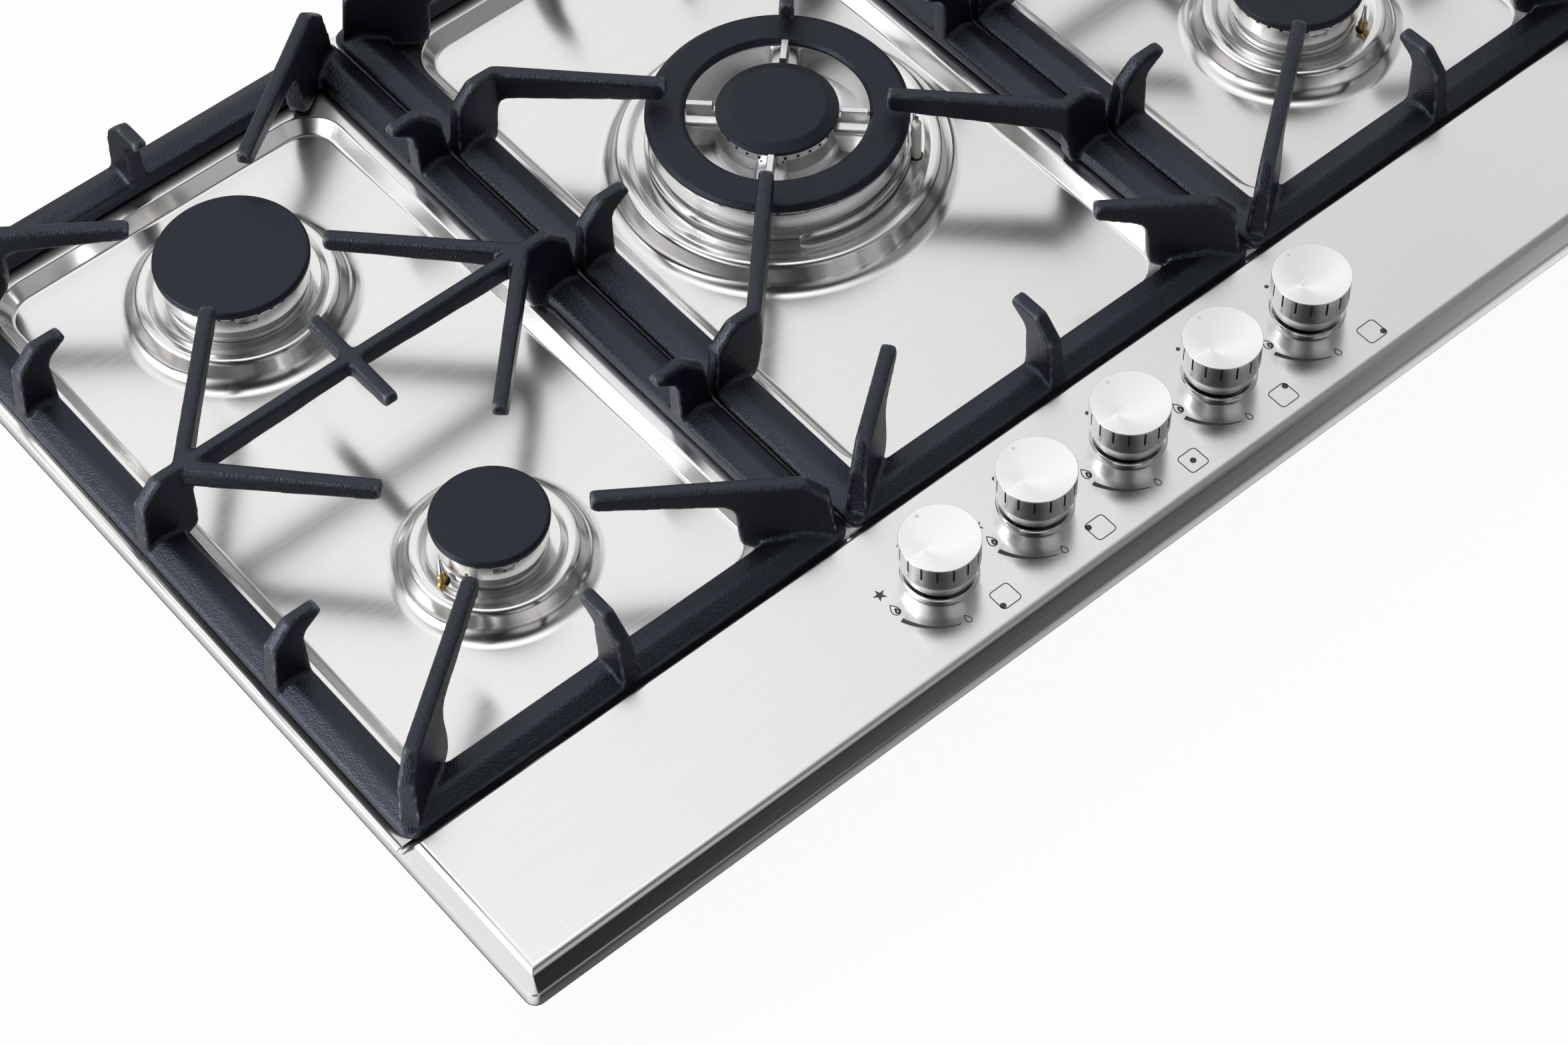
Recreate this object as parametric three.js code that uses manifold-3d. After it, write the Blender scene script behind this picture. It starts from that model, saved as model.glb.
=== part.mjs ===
// Built-in gas cooktop with five burners, three cast pan supports and five push-and-turn knobs.
// Millimetres, +X to the right, +Y to the rear, +Z up.
// The origin is the middle of the burner box's underside.

import * as THREE from 'three';
import { mergeVertices } from 'three/addons/utils/BufferGeometryUtils.js';
import Module from 'manifold-3d';

const wasm = await Module();
wasm.setup();

// ---------------------------------------------------------------- driving sizes

const CLEARANCE = 0.3; // gap left between separate pieces that seat on each other

// pressed top pan; heights are above the worktop plane
const PAN_WIDTH = 776;
const PAN_DEPTH = 514;
const PAN_CORNER_RADIUS = 6;
const SHEET = 1.2;
const SKIRT_HEIGHT = 6;
const SKIRT_INSET = 3;
const LEDGE_HEIGHT = 7;
const LEDGE_INSET = 4.2;
const PANEL_HEIGHT = 19;
const PANEL_BEVEL_INSET = 9;
const PANEL_DEPTH = 88; // front edge of the pan to the panel's rear crease
const PANEL_REAR_SLOPE = 5;

// burner field
const FIELD_SHIFT = 1; // the field's middle lies this far behind the middle of the pan's rear part
const BURNER_SHIFT = 1.5; // the outer burners stand this far outside their pan support's middle
const ZONE_LAND = 56; // flat land between two recesses
const ZONE_END_MARGIN = 34; // recess to the panel's crease, and to the pan's rear edge
const BURNER_FROM_ZONE_END = 76; // recess's end to the axis of the nearer outer burner
const ZONE_WALL_RUN = 6;
const ZONE_FLOOR_HEIGHT = -0.5;
const ZONE_CORNER_RADIUS = 22;
const PLINTH_HEIGHT = 12;
const PLINTH_RIM = 2.4;
const PLINTH_DISH = 1;
const PLINTH_SPREAD = 11; // how much wider the plinth is at its foot
const WOK_PLINTH_SPREAD = 10;

// burners: cap radius, and plinth radius at its rim
const SMALL_CAP_RADIUS = 28.5;
const SMALL_PLINTH_RADIUS = 37.5;
const MEDIUM_CAP_RADIUS = 35.3;
const MEDIUM_PLINTH_RADIUS = 44.5;
const LARGE_CAP_RADIUS = 38.6;
const LARGE_PLINTH_RADIUS = 47.4;
const WOK_CAP_RADIUS = 66;
const WOK_PLINTH_RADIUS = 79;
const WOK_CAP_HOLE_RADIUS = 45.5;
const WOK_CENTRE_CAP_RADIUS = 31;

const CUP_FLANGE = 2.2;
const CUP_FLANGE_REACH = 4;
const CUP_INSET = 6.5; // cap edge to the outside of the cup's neck
const CUP_WALL = 3;
const CUP_DEPTH = 34; // below the worktop plane
const CUP_HOLE_PLAY = 0.6;
const CROWN_FOOT_HEIGHT = 18.5; // underside of the crown's band
const CROWN_TOP_HEIGHT = 29.6;
const CROWN_INSET = 2; // cap edge to the crown's band
const CROWN_WALL = 4;
const CROWN_SPIGOT_DEPTH = 5;
const CROWN_DECK = 3;
const THROAT_SHARE = 0.45; // throat radius as a share of the spigot's
const CAP_THICKNESS = 4.6;
const CAP_EDGE = 2.3; // height of the cap's edge above its underside
const CAP_LIP_PLAY = 2;
const CAP_LIP = 2.2; // depth of the rim that centres a cap in its crown
const WOK_CROWN_TOP_HEIGHT = 32.4;
const WOK_CENTRE_SEAT_HEIGHT = 34.6;
const WOK_CAP_THICKNESS = 4.2;
const WOK_BRIDGE_WIDTH = 15;
const WOK_RING_WIDTH = 17; // radial width of the outer flame ring
const WOK_RING_WALL = 3.5;
const WOK_GALLERY_DEPTH = 9;
const WOK_BRIDGE_DROP = 3;
const WOK_CORE_RADIUS = 29;

const IGNITER_RADIUS = 2.4;
const IGNITER_TIP_RADIUS = 0.9;
const THERMOCOUPLE_RADIUS = 2.2;
const PROBE_DEPTH = 14; // how far the probes reach below the worktop plane
const PROBE_COLLAR = 2.2;
const PROBE_HOLE_PLAY = 0.5;

// knobs and taps
const KNOB_PITCH = 58.3;
const KNOB_CENTRE_FROM_FRONT = 48.5;
const KNOB_RADIUS = 19;
const KNOB_HEIGHT = 22;
const KNOB_GRIP_HEIGHT = 14; // straight upper part of the side
const KNOB_NECK_RADIUS = 16.2;
const KNOB_SWELL = 0.7; // how far the side has filled out half way up the taper
const KNOB_WALL = 2.2;
const KNOB_BOSS_RADIUS = 7;
const KNOB_MARK_RADIUS = 1.3;
const KNOB_MARK_FROM_EDGE = 3.4;
const KNOB_TRAVEL = 3;
const KNOB_PANEL_GAP = 4.1; // room for the push and for the ring that stands round the knob's foot
const SPINDLE_RADIUS = 3;
const SPINDLE_FLAT = 1.6; // distance of the spindle's flat from its axis
const SPINDLE_FIT = 0.3;
const SPINDLE_HOLE_PLAY = 1.2;
const SPINDLE_BASE_HEIGHT = -8;
const PLUG_TOP_RADIUS = 8;
const PLUG_TAPER = 2.6;
const PLUG_LENGTH = 20;
const PLUG_SOCKET_DEPTH = 15;
const TAP_TOP_HEIGHT = 4;
const TAP_BODY_WIDTH = 26;
const TAP_BODY_DEPTH = 28;
const TAP_BODY_HEIGHT = 26;
const TAP_COLLAR_RADIUS = 11.5;
const TAP_COLLAR_HEIGHT = 5;
const TAP_OUTLET_LENGTH = 10;
const TAP_OUTLET_RADIUS = 6;
const TAP_INLET_LENGTH = 4;
const RAIL_RADIUS = 8;
const RAIL_SADDLE = 1.5;
const RAIL_FROM_COLUMN = 43; // rail's rear run to the right of the right burners
const RAIL_START = 140;
const PIPE_RADIUS = 3.2;
const PIPE_HEIGHT = -9;
const ELBOW_RADIUS = 10.5;
const ELBOW_BODY = 26;
const ELBOW_FROM_WALL = 8;
const ELBOW_BORE_RADIUS = 7;
const ELBOW_BORE_DEPTH = 14;

// burner box, seal and ignition unit
const BOX_HEIGHT = 52;
const BOX_SIDE_INSET = 28;
const BOX_FRONT_INSET = 30;
const BOX_REAR_INSET = 22;
const BOX_SHEET = 1;
const BOX_CORNER_RADIUS = 10;
const BOX_RIM_GAP = 0.4;
const BOX_VENTS = 6;
const BOX_VENT_LENGTH = 60;
const BOX_VENT_WIDTH = 6;
const SEAL_INSET = 6;
const SEAL_WIDTH = 10;
const SPARK_UNIT_SIZE = [70, 46, 26];
const SPARK_UNIT_FROM_WALL = 17;
const SPARK_STUD_RADIUS = 2.6;
const SPARK_STUD_LENGTH = 8;

// cast pan supports
const GRATE_GAP = 1.5;
const GRATE_SIDE_MARGIN = 5.5; // pan's edge to the outer pan support
const GRATE_END_MARGIN = 6; // pan support to the panel's crease, and to the pan's rear edge
const BAR_WIDTH = 20.5;
const BAR_BOTTOM = 8;
const BAR_EDGE_HEIGHT = 14;
const BAR_CREST_HEIGHT = 18;
const BAR_INNER_HEIGHT = 15.5;
const BAR_CREST_INSET = 9.5;
const BAR_CORNER_RADIUS = 7;
const FOOT_RADIUS = 5;
const SUPPORT_HEIGHT = 53; // the plane that the pans stand on
const FINGER_WIDTH = 7.6;
const FINGER_TIP_DEPTH = 8.8;
const FINGER_ROOT_DEPTH = 12.5;
const WOK_FINGER_TIP_DEPTH = 11;
const WOK_FINGER_ROOT_DEPTH = 17;
const TIP_REACH = 34; // fingertip to the burner's axis, along X and along Y
const WOK_TIP_REACH = 39;
const STUB_REACH = 31; // bar's outer edge to the stub's tip
const CORNER_ROOT_INSET = 9;
const CORNER_WEB_LENGTH = 46;
const SHORT_FINGER_REACH = 72;
const CROSS_STUB_REACH = 31;
const BRACKET_LENGTH = 29;
const WEB_LEAN = 4;
const WEB_CHAMFER = 11;

const ROUND_WOK = 24; // facets on the largest circles
const ROUND = 18;
const ROUND_SMALL = 10;
const ROUND_TINY = 6;

// ---------------------------------------------------------------- derived levels

const worktop = BOX_HEIGHT; // Z of the worktop plane
const panelY = -PAN_DEPTH / 2 + PANEL_DEPTH;
const knobY = -PAN_DEPTH / 2 + KNOB_CENTRE_FROM_FRONT;
const fieldDepth = PAN_DEPTH - PANEL_DEPTH;
const fieldY = panelY + fieldDepth / 2 + FIELD_SHIFT;
const gratePitch = (PAN_WIDTH - 2 * GRATE_SIDE_MARGIN + GRATE_GAP) / 3;
const grateLength = fieldDepth - 2 * GRATE_END_MARGIN;
const columnPitch = gratePitch + BURNER_SHIFT;
const zoneWidth = columnPitch - ZONE_LAND;
const zoneLength = fieldDepth - 2 * ZONE_END_MARGIN;
const rowPitch = zoneLength - 2 * BURNER_FROM_ZONE_END;
const frontRow = fieldY - rowPitch / 2;
const rearRow = fieldY + rowPitch / 2;
const dishHeight = PLINTH_HEIGHT - PLINTH_DISH;
const grateWidth = gratePitch - GRATE_GAP;
const knobBase = PANEL_HEIGHT + KNOB_PANEL_GAP;
const knobTop = knobBase + KNOB_HEIGHT;
const tapBottom = TAP_TOP_HEIGHT - TAP_BODY_HEIGHT;
const railHeight = tapBottom - TAP_INLET_LENGTH - CLEARANCE - RAIL_SADDLE - RAIL_RADIUS;
const elbowX = columnPitch + RAIL_FROM_COLUMN;
const elbowY = PAN_DEPTH / 2 - BOX_REAR_INSET - ELBOW_BODY / 2 - ELBOW_FROM_WALL;

// ---------------------------------------------------------------- materials

const finish = (color, roughness, metalness) =>
  new THREE.MeshStandardMaterial({ color, roughness, metalness });

const materials = {
  steel: finish(0xc9c7c4, 0.34, 1),
  tray: finish(0xa9abad, 0.5, 0.9),
  foam: finish(0x2b2b2c, 0.95, 0),
  iron: finish(0x1c1e22, 0.62, 0.25),
  enamel: finish(0x17181a, 0.55, 0.1),
  alloy: finish(0xd6d6d4, 0.3, 1),
  brass: finish(0xb5914c, 0.35, 1),
  ceramic: finish(0xf1efe9, 0.4, 0),
  knob: finish(0xe4e4e3, 0.22, 1),
  pipe: finish(0xbfc1c2, 0.35, 1),
  plastic: finish(0x2c2e31, 0.6, 0),
};

// ---------------------------------------------------------------- solid modelling

/** Turns a closed geometry into a solid, with its faces pointing out. */
function solidOf(geometry) {
  const bare = new THREE.BufferGeometry();
  bare.setAttribute('position', geometry.getAttribute('position').clone());
  if (geometry.index) bare.setIndex(geometry.index.clone());
  const merged = mergeVertices(bare, 1e-4);
  const points = merged.getAttribute('position').array;
  const source = merged.index.array;
  const corners = [];
  let volume = 0;
  const a = new THREE.Vector3();
  const b = new THREE.Vector3();
  const c = new THREE.Vector3();
  for (let i = 0; i < source.length; i += 3) {
    const [p, q, r] = [source[i], source[i + 1], source[i + 2]];
    if (p === q || q === r || r === p) continue;
    corners.push(p, q, r);
    a.fromArray(points, 3 * p);
    b.fromArray(points, 3 * q);
    c.fromArray(points, 3 * r);
    volume += a.dot(b.cross(c));
  }
  if (volume < 0) corners.reverse();
  return new wasm.Manifold(new wasm.Mesh({
    numProp: 3,
    vertProperties: Float32Array.from(points),
    triVerts: Uint32Array.from(corners),
  }));
}

/** Gives a solid back as a geometry that a mesh can carry. */
function geometryOf(solid) {
  const mesh = solid.getMesh();
  const geometry = new THREE.BufferGeometry();
  geometry.setAttribute('position', new THREE.BufferAttribute(mesh.vertProperties, 3));
  geometry.setIndex(new THREE.BufferAttribute(mesh.triVerts, 1));
  geometry.computeVertexNormals();
  return geometry;
}

const join = (...solids) => solids.flat().reduce((sum, next) => sum.add(next));
const cut = (body, ...tools) => tools.flat().reduce((rest, tool) => rest.subtract(tool), body);

/** A round bar or cone standing on z0, with its axis along Z. */
function drum(radius, z0, z1, { x = 0, y = 0, top = radius, sides = ROUND } = {}) {
  const geometry = new THREE.CylinderGeometry(top, radius, z1 - z0, sides);
  geometry.rotateX(Math.PI / 2);
  geometry.translate(x, y, (z0 + z1) / 2);
  return solidOf(geometry);
}

/** A round bar lying along X or Y, from a to b. */
function rod(radius, axis, from, to, { x = 0, y = 0, z = 0, sides = ROUND_SMALL } = {}) {
  const geometry = new THREE.CylinderGeometry(radius, radius, to - from, sides);
  if (axis === 'x') geometry.rotateZ(-Math.PI / 2);
  const middle = (from + to) / 2;
  geometry.translate(axis === 'x' ? middle : x, axis === 'y' ? middle : y, z);
  return solidOf(geometry);
}

/** A block between two opposite corners. */
function block(x0, x1, y0, y1, z0, z1) {
  const geometry = new THREE.BoxGeometry(x1 - x0, y1 - y0, z1 - z0);
  geometry.translate((x0 + x1) / 2, (y0 + y1) / 2, (z0 + z1) / 2);
  return solidOf(geometry);
}

/** Revolves a profile of [radius, height] points about Z. */
function turned(profile, sides = ROUND) {
  const points = profile.map(([radius, height]) => new THREE.Vector2(radius, height));
  const geometry = new THREE.LatheGeometry(points, sides);
  geometry.rotateX(Math.PI / 2);
  return solidOf(geometry);
}

/** Corner points of a rectangle with rounded corners, counter-clockwise. */
function roundedOutline(x0, x1, y0, y1, radius, steps = 2) {
  const r = Math.max(0.2, Math.min(radius, (x1 - x0) / 2.1, (y1 - y0) / 2.1));
  const centres = [[x1 - r, y1 - r, 0], [x0 + r, y1 - r, 1], [x0 + r, y0 + r, 2], [x1 - r, y0 + r, 3]];
  const outline = [];
  for (const [cx, cy, quarter] of centres) {
    for (let i = 0; i <= steps; i += 1) {
      const angle = (quarter + i / steps) * Math.PI / 2;
      outline.push([cx + r * Math.cos(angle), cy + r * Math.sin(angle)]);
    }
  }
  return outline;
}

/** Skins a stack of convex outlines, each { z, outline }, and closes both ends. */
function lofted(rings) {
  const count = rings[0].outline.length;
  const points = [];
  const corners = [];
  rings.forEach(({ z, outline }) => outline.forEach(([x, y]) => points.push(x, y, z)));
  for (let level = 0; level + 1 < rings.length; level += 1) {
    for (let i = 0; i < count; i += 1) {
      const a = level * count + i;
      const b = level * count + (i + 1) % count;
      corners.push(a, b, b + count, a, b + count, a + count);
    }
  }
  const last = (rings.length - 1) * count;
  for (let i = 1; i + 1 < count; i += 1) {
    corners.push(0, i + 1, i);
    corners.push(last, last + i, last + i + 1);
  }
  const geometry = new THREE.BufferGeometry();
  geometry.setAttribute('position', new THREE.Float32BufferAttribute(points, 3));
  geometry.setIndex(corners);
  return solidOf(geometry);
}

/** A loft whose levels are given as { z, box: [x0, x1, y0, y1], radius }. */
const stacked = (levels) => lofted(levels.map(({ z, box, radius }) =>
  ({ z, outline: roundedOutline(...box, radius) })));

/** A rectangle centred on (cx, cy) drawn in by an inset. */
const inset = (width, depth, amount, cx = 0, cy = 0) =>
  [cx - width / 2 + amount, cx + width / 2 - amount, cy - depth / 2 + amount, cy + depth / 2 - amount];

/** An upright plate: a profile in (run, height), run from `start` towards `end` in plan. */
function plate(profile, start, end, width = FINGER_WIDTH) {
  const shape = new THREE.Shape(profile.map(([u, z]) => new THREE.Vector2(u, z)));
  const geometry = new THREE.ExtrudeGeometry(shape, { depth: width, bevelEnabled: false });
  geometry.translate(0, 0, -width / 2);
  geometry.rotateX(Math.PI / 2);
  geometry.rotateZ(Math.atan2(end[1] - start[1], end[0] - start[0]));
  geometry.translate(start[0], start[1], 0);
  return solidOf(geometry);
}

/** Points along a route whose corners are rounded. */
function roundedRoute(route, bend, steps) {
  const points = route.map((point) => new THREE.Vector3(...point));
  const path = [points[0]];
  for (let i = 1; i + 1 < points.length; i += 1) {
    const corner = points[i];
    const before = corner.clone().sub(points[i - 1]);
    const after = points[i + 1].clone().sub(corner);
    const reach = Math.min(bend, before.length() / 2.2, after.length() / 2.2);
    const curve = new THREE.QuadraticBezierCurve3(
      corner.clone().addScaledVector(before.normalize(), -reach),
      corner,
      corner.clone().addScaledVector(after.normalize(), reach),
    );
    path.push(...curve.getPoints(steps));
  }
  path.push(points[points.length - 1]);
  return path;
}

/** A level pipe along a rounded route. */
function pipe(route, radius, { bend = 18, sides = ROUND_TINY, steps = 3 } = {}) {
  const path = roundedRoute(route, bend, steps);
  const up = new THREE.Vector3(0, 0, 1);
  const points = [];
  const corners = [];
  path.forEach((point, i) => {
    const ahead = path[Math.min(i + 1, path.length - 1)].clone().sub(path[Math.max(i - 1, 0)]).normalize();
    const side = ahead.cross(up).normalize();
    for (let k = 0; k < sides; k += 1) {
      const angle = 2 * Math.PI * (k + 0.5) / sides;
      const rim = point.clone()
        .addScaledVector(side, radius * Math.cos(angle))
        .addScaledVector(up, radius * Math.sin(angle));
      points.push(rim.x, rim.y, rim.z);
    }
  });
  for (let level = 0; level + 1 < path.length; level += 1) {
    for (let k = 0; k < sides; k += 1) {
      const a = level * sides + k;
      const b = level * sides + (k + 1) % sides;
      corners.push(a, b, b + sides, a, b + sides, a + sides);
    }
  }
  const last = (path.length - 1) * sides;
  for (let k = 1; k + 1 < sides; k += 1) {
    corners.push(0, k + 1, k);
    corners.push(last, last + k, last + k + 1);
  }
  const geometry = new THREE.BufferGeometry();
  geometry.setAttribute('position', new THREE.Float32BufferAttribute(points, 3));
  geometry.setIndex(corners);
  return solidOf(geometry);
}

// ---------------------------------------------------------------- the burners

const row = (name, x, y, capRadius, plinthRadius, igniter, thermocouple) => ({
  name,
  x,
  y,
  capRadius,
  plinthRadius,
  crownRadius: capRadius - CROWN_INSET,
  cupRadius: capRadius - CUP_INSET,
  igniter,
  thermocouple,
});

const degrees = (angle) => angle * Math.PI / 180;

/** A probe stands beside the crown's band at this angle from +X. */
const probeAt = (burner, angle, extra = 0) => {
  const reach = burner.crownRadius + extra;
  return [reach * Math.cos(degrees(angle)), reach * Math.sin(degrees(angle))];
};

const PROBE_REACH = 1.5; // probe's axis outside the crown's band

const burners = [
  row('front_left', -columnPitch, frontRow, SMALL_CAP_RADIUS, SMALL_PLINTH_RADIUS, 212, 183),
  row('rear_left', -columnPitch, rearRow, LARGE_CAP_RADIUS, LARGE_PLINTH_RADIUS, 80, 58),
  row('wok', 0, fieldY, WOK_CAP_RADIUS, WOK_PLINTH_RADIUS, -48, -40),
  row('rear_right', columnPitch, rearRow, MEDIUM_CAP_RADIUS, MEDIUM_PLINTH_RADIUS, 122, 100),
  row('front_right', columnPitch, frontRow, MEDIUM_CAP_RADIUS, MEDIUM_PLINTH_RADIUS, 60, -64),
];

const isWok = (burner) => burner.name === 'wok';
const spread = (burner) => (isWok(burner) ? WOK_PLINTH_SPREAD : PLINTH_SPREAD);
const facets = (burner) => (isWok(burner) ? ROUND_WOK : ROUND);

/** Both probes of a burner, each with its place relative to the burner's axis. */
const probes = (burner) => [
  { kind: 'igniter', radius: IGNITER_RADIUS, at: probeAt(burner, burner.igniter, PROBE_REACH + IGNITER_RADIUS) },
  { kind: 'thermocouple', radius: THERMOCOUPLE_RADIUS,
    at: probeAt(burner, burner.thermocouple, PROBE_REACH + THERMOCOUPLE_RADIUS) },
];

// ---------------------------------------------------------------- top pan

/** The pan's outer form drawn in by `wall`, so that two of them make the sheet. */
function panForm(wall) {
  const top = (height) => height - wall;
  const side = (amount) => inset(PAN_WIDTH, PAN_DEPTH, amount + wall);
  const foot = wall > 0 ? -10 : 0;
  const rim = stacked([
    { z: foot, box: side(0), radius: PAN_CORNER_RADIUS },
    { z: 0, box: side(0), radius: PAN_CORNER_RADIUS },
    { z: top(SKIRT_HEIGHT), box: side(SKIRT_INSET), radius: PAN_CORNER_RADIUS },
    { z: top(LEDGE_HEIGHT), box: side(LEDGE_INSET), radius: PAN_CORNER_RADIUS },
  ].filter((level, index) => wall > 0 || index > 0));
  const panelBox = (amount, rear) => {
    const [x0, x1, y0] = side(amount);
    return [x0, x1, y0, panelY + rear - wall];
  };
  const panel = stacked([
    { z: Math.min(0, foot), box: panelBox(SKIRT_INSET, PANEL_REAR_SLOPE), radius: PAN_CORNER_RADIUS },
    { z: top(SKIRT_HEIGHT), box: panelBox(SKIRT_INSET, PANEL_REAR_SLOPE), radius: PAN_CORNER_RADIUS },
    { z: top(PANEL_HEIGHT - 1), box: panelBox(PANEL_BEVEL_INSET - 1.2, 0.8), radius: PAN_CORNER_RADIUS },
    { z: top(PANEL_HEIGHT), box: panelBox(PANEL_BEVEL_INSET, 0), radius: PAN_CORNER_RADIUS },
  ]);
  return rim.add(panel);
}

/** The recess under one pan support, grown by `wall`. */
function recess(column, wall, bottom) {
  const level = (z, amount, radius) =>
    ({ z, box: inset(zoneWidth, zoneLength, amount - wall, column, fieldY), radius: radius + wall });
  return stacked([
    level(bottom, ZONE_WALL_RUN, ZONE_CORNER_RADIUS - ZONE_WALL_RUN),
    level(ZONE_FLOOR_HEIGHT + 1, ZONE_WALL_RUN - 1.4, ZONE_CORNER_RADIUS - ZONE_WALL_RUN),
    level(LEDGE_HEIGHT - 1, 0.8, ZONE_CORNER_RADIUS),
    level(LEDGE_HEIGHT + 0.2, -0.6, ZONE_CORNER_RADIUS),
  ]);
}

/** The raised round plinth of a burner, or the hollow under it. */
function plinth(burner, hollow) {
  const rim = burner.plinthRadius;
  const foot = rim + spread(burner);
  const profile = hollow ? [
    [0, ZONE_FLOOR_HEIGHT - 2 * SHEET],
    [foot, ZONE_FLOOR_HEIGHT - 2 * SHEET],
    [rim - SHEET, dishHeight - SHEET],
    [0, dishHeight - SHEET],
  ] : [
    [0, ZONE_FLOOR_HEIGHT - SHEET],
    [foot + SHEET, ZONE_FLOOR_HEIGHT - SHEET],
    [rim, PLINTH_HEIGHT],
    [rim - PLINTH_RIM, PLINTH_HEIGHT],
    [rim - PLINTH_RIM - 1.5, dishHeight],
    [0, dishHeight],
  ];
  return turned(profile, facets(burner)).translate([burner.x, burner.y, 0]);
}

function makeTopPan() {
  const columns = [-columnPitch, 0, columnPitch];
  const floorBottom = ZONE_FLOOR_HEIGHT - SHEET;
  let outside = panForm(0);
  let hollow = panForm(SHEET);
  for (const column of columns) {
    outside = outside.add(recess(column, SHEET, floorBottom));
    outside = outside.subtract(recess(column, 0, ZONE_FLOOR_HEIGHT));
    hollow = hollow.subtract(recess(column, SHEET, floorBottom));
  }
  // the ledge stays flat: nothing of a recess stands above it
  outside = outside.subtract(block(
    -PAN_WIDTH, PAN_WIDTH, panelY + PANEL_REAR_SLOPE, PAN_DEPTH, LEDGE_HEIGHT, LEDGE_HEIGHT + 5,
  ));
  for (const burner of burners) {
    outside = outside.add(plinth(burner, false));
    hollow = hollow.add(plinth(burner, true));
  }
  let pan = outside.subtract(hollow);
  for (const burner of burners) {
    const deep = ZONE_FLOOR_HEIGHT - 10;
    const hole = { x: burner.x, y: burner.y, sides: facets(burner) };
    pan = pan.subtract(drum(burner.cupRadius + CUP_HOLE_PLAY, deep, PLINTH_HEIGHT + 5, hole));
    for (const { radius, at } of probes(burner)) {
      pan = pan.subtract(drum(radius + PROBE_HOLE_PLAY, deep, PLINTH_HEIGHT + 5, {
        x: burner.x + at[0], y: burner.y + at[1], sides: ROUND_TINY,
      }));
    }
  }
  for (const x of knobColumns) {
    pan = pan.subtract(drum(SPINDLE_RADIUS + SPINDLE_HOLE_PLAY, 0, PANEL_HEIGHT + 5, {
      x, y: knobY, sides: ROUND_SMALL,
    }));
  }
  return pan;
}

// ---------------------------------------------------------------- burner pieces

/** The cup that hangs through the plinth, takes the gas jet and carries the crown on its neck. */
function makeCup(burner) {
  const outer = burner.cupRadius;
  const flange = outer + CUP_FLANGE_REACH;
  const seat = dishHeight + CLEARANCE;
  const neck = CROWN_FOOT_HEIGHT - CLEARANCE;
  const body = turned([
    [0, -CUP_DEPTH],
    [outer, -CUP_DEPTH],
    [outer, seat],
    [flange, seat],
    [flange, seat + CUP_FLANGE],
    [outer, seat + CUP_FLANGE],
    [outer, neck],
    [outer - CUP_WALL, neck],
    [outer - CUP_WALL, -CUP_DEPTH + 6],
    [0, -CUP_DEPTH + 6],
  ], facets(burner));
  const { reach, angle } = inletOf(burner);
  const arm = rod(TAP_OUTLET_RADIUS, 'x', outer - CUP_WALL / 2, reach - CLEARANCE, { z: PIPE_HEIGHT });
  const clear = probes(burner).map(({ radius, at }) => drum(
    radius + PROBE_COLLAR + CLEARANCE, -CUP_DEPTH - 1, neck + 1, { x: at[0], y: at[1], sides: ROUND_TINY },
  ));
  return cut(join(body, arm.rotate([0, 0, angle])), clear);
}

/** Notches that give both probes their place beside the crown. */
function probeNotches(burner, z0, z1) {
  return probes(burner).map(({ radius, at }) => drum(radius + 2, z0, z1, {
    x: at[0], y: at[1], sides: ROUND_TINY,
  }));
}

/** The crown of a single-ring burner: band with ports, deck with a throat, spigot below. */
function makeCrown(burner) {
  const band = burner.crownRadius;
  const spigot = burner.cupRadius - CUP_WALL - CLEARANCE;
  const throat = spigot * THROAT_SHARE;
  const foot = CROWN_FOOT_HEIGHT;
  const body = turned([
    [throat, foot - CROWN_SPIGOT_DEPTH],
    [spigot, foot - CROWN_SPIGOT_DEPTH],
    [spigot, foot],
    [band, foot],
    [band, CROWN_TOP_HEIGHT],
    [band - CROWN_WALL, CROWN_TOP_HEIGHT],
    [band - CROWN_WALL, foot + CROWN_DECK],
    [throat, foot + CROWN_DECK],
    [throat, foot - CROWN_SPIGOT_DEPTH],
  ]);
  return cut(
    body,
    probeNotches(burner, foot - 20, CROWN_TOP_HEIGHT + 1),
  );
}

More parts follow.
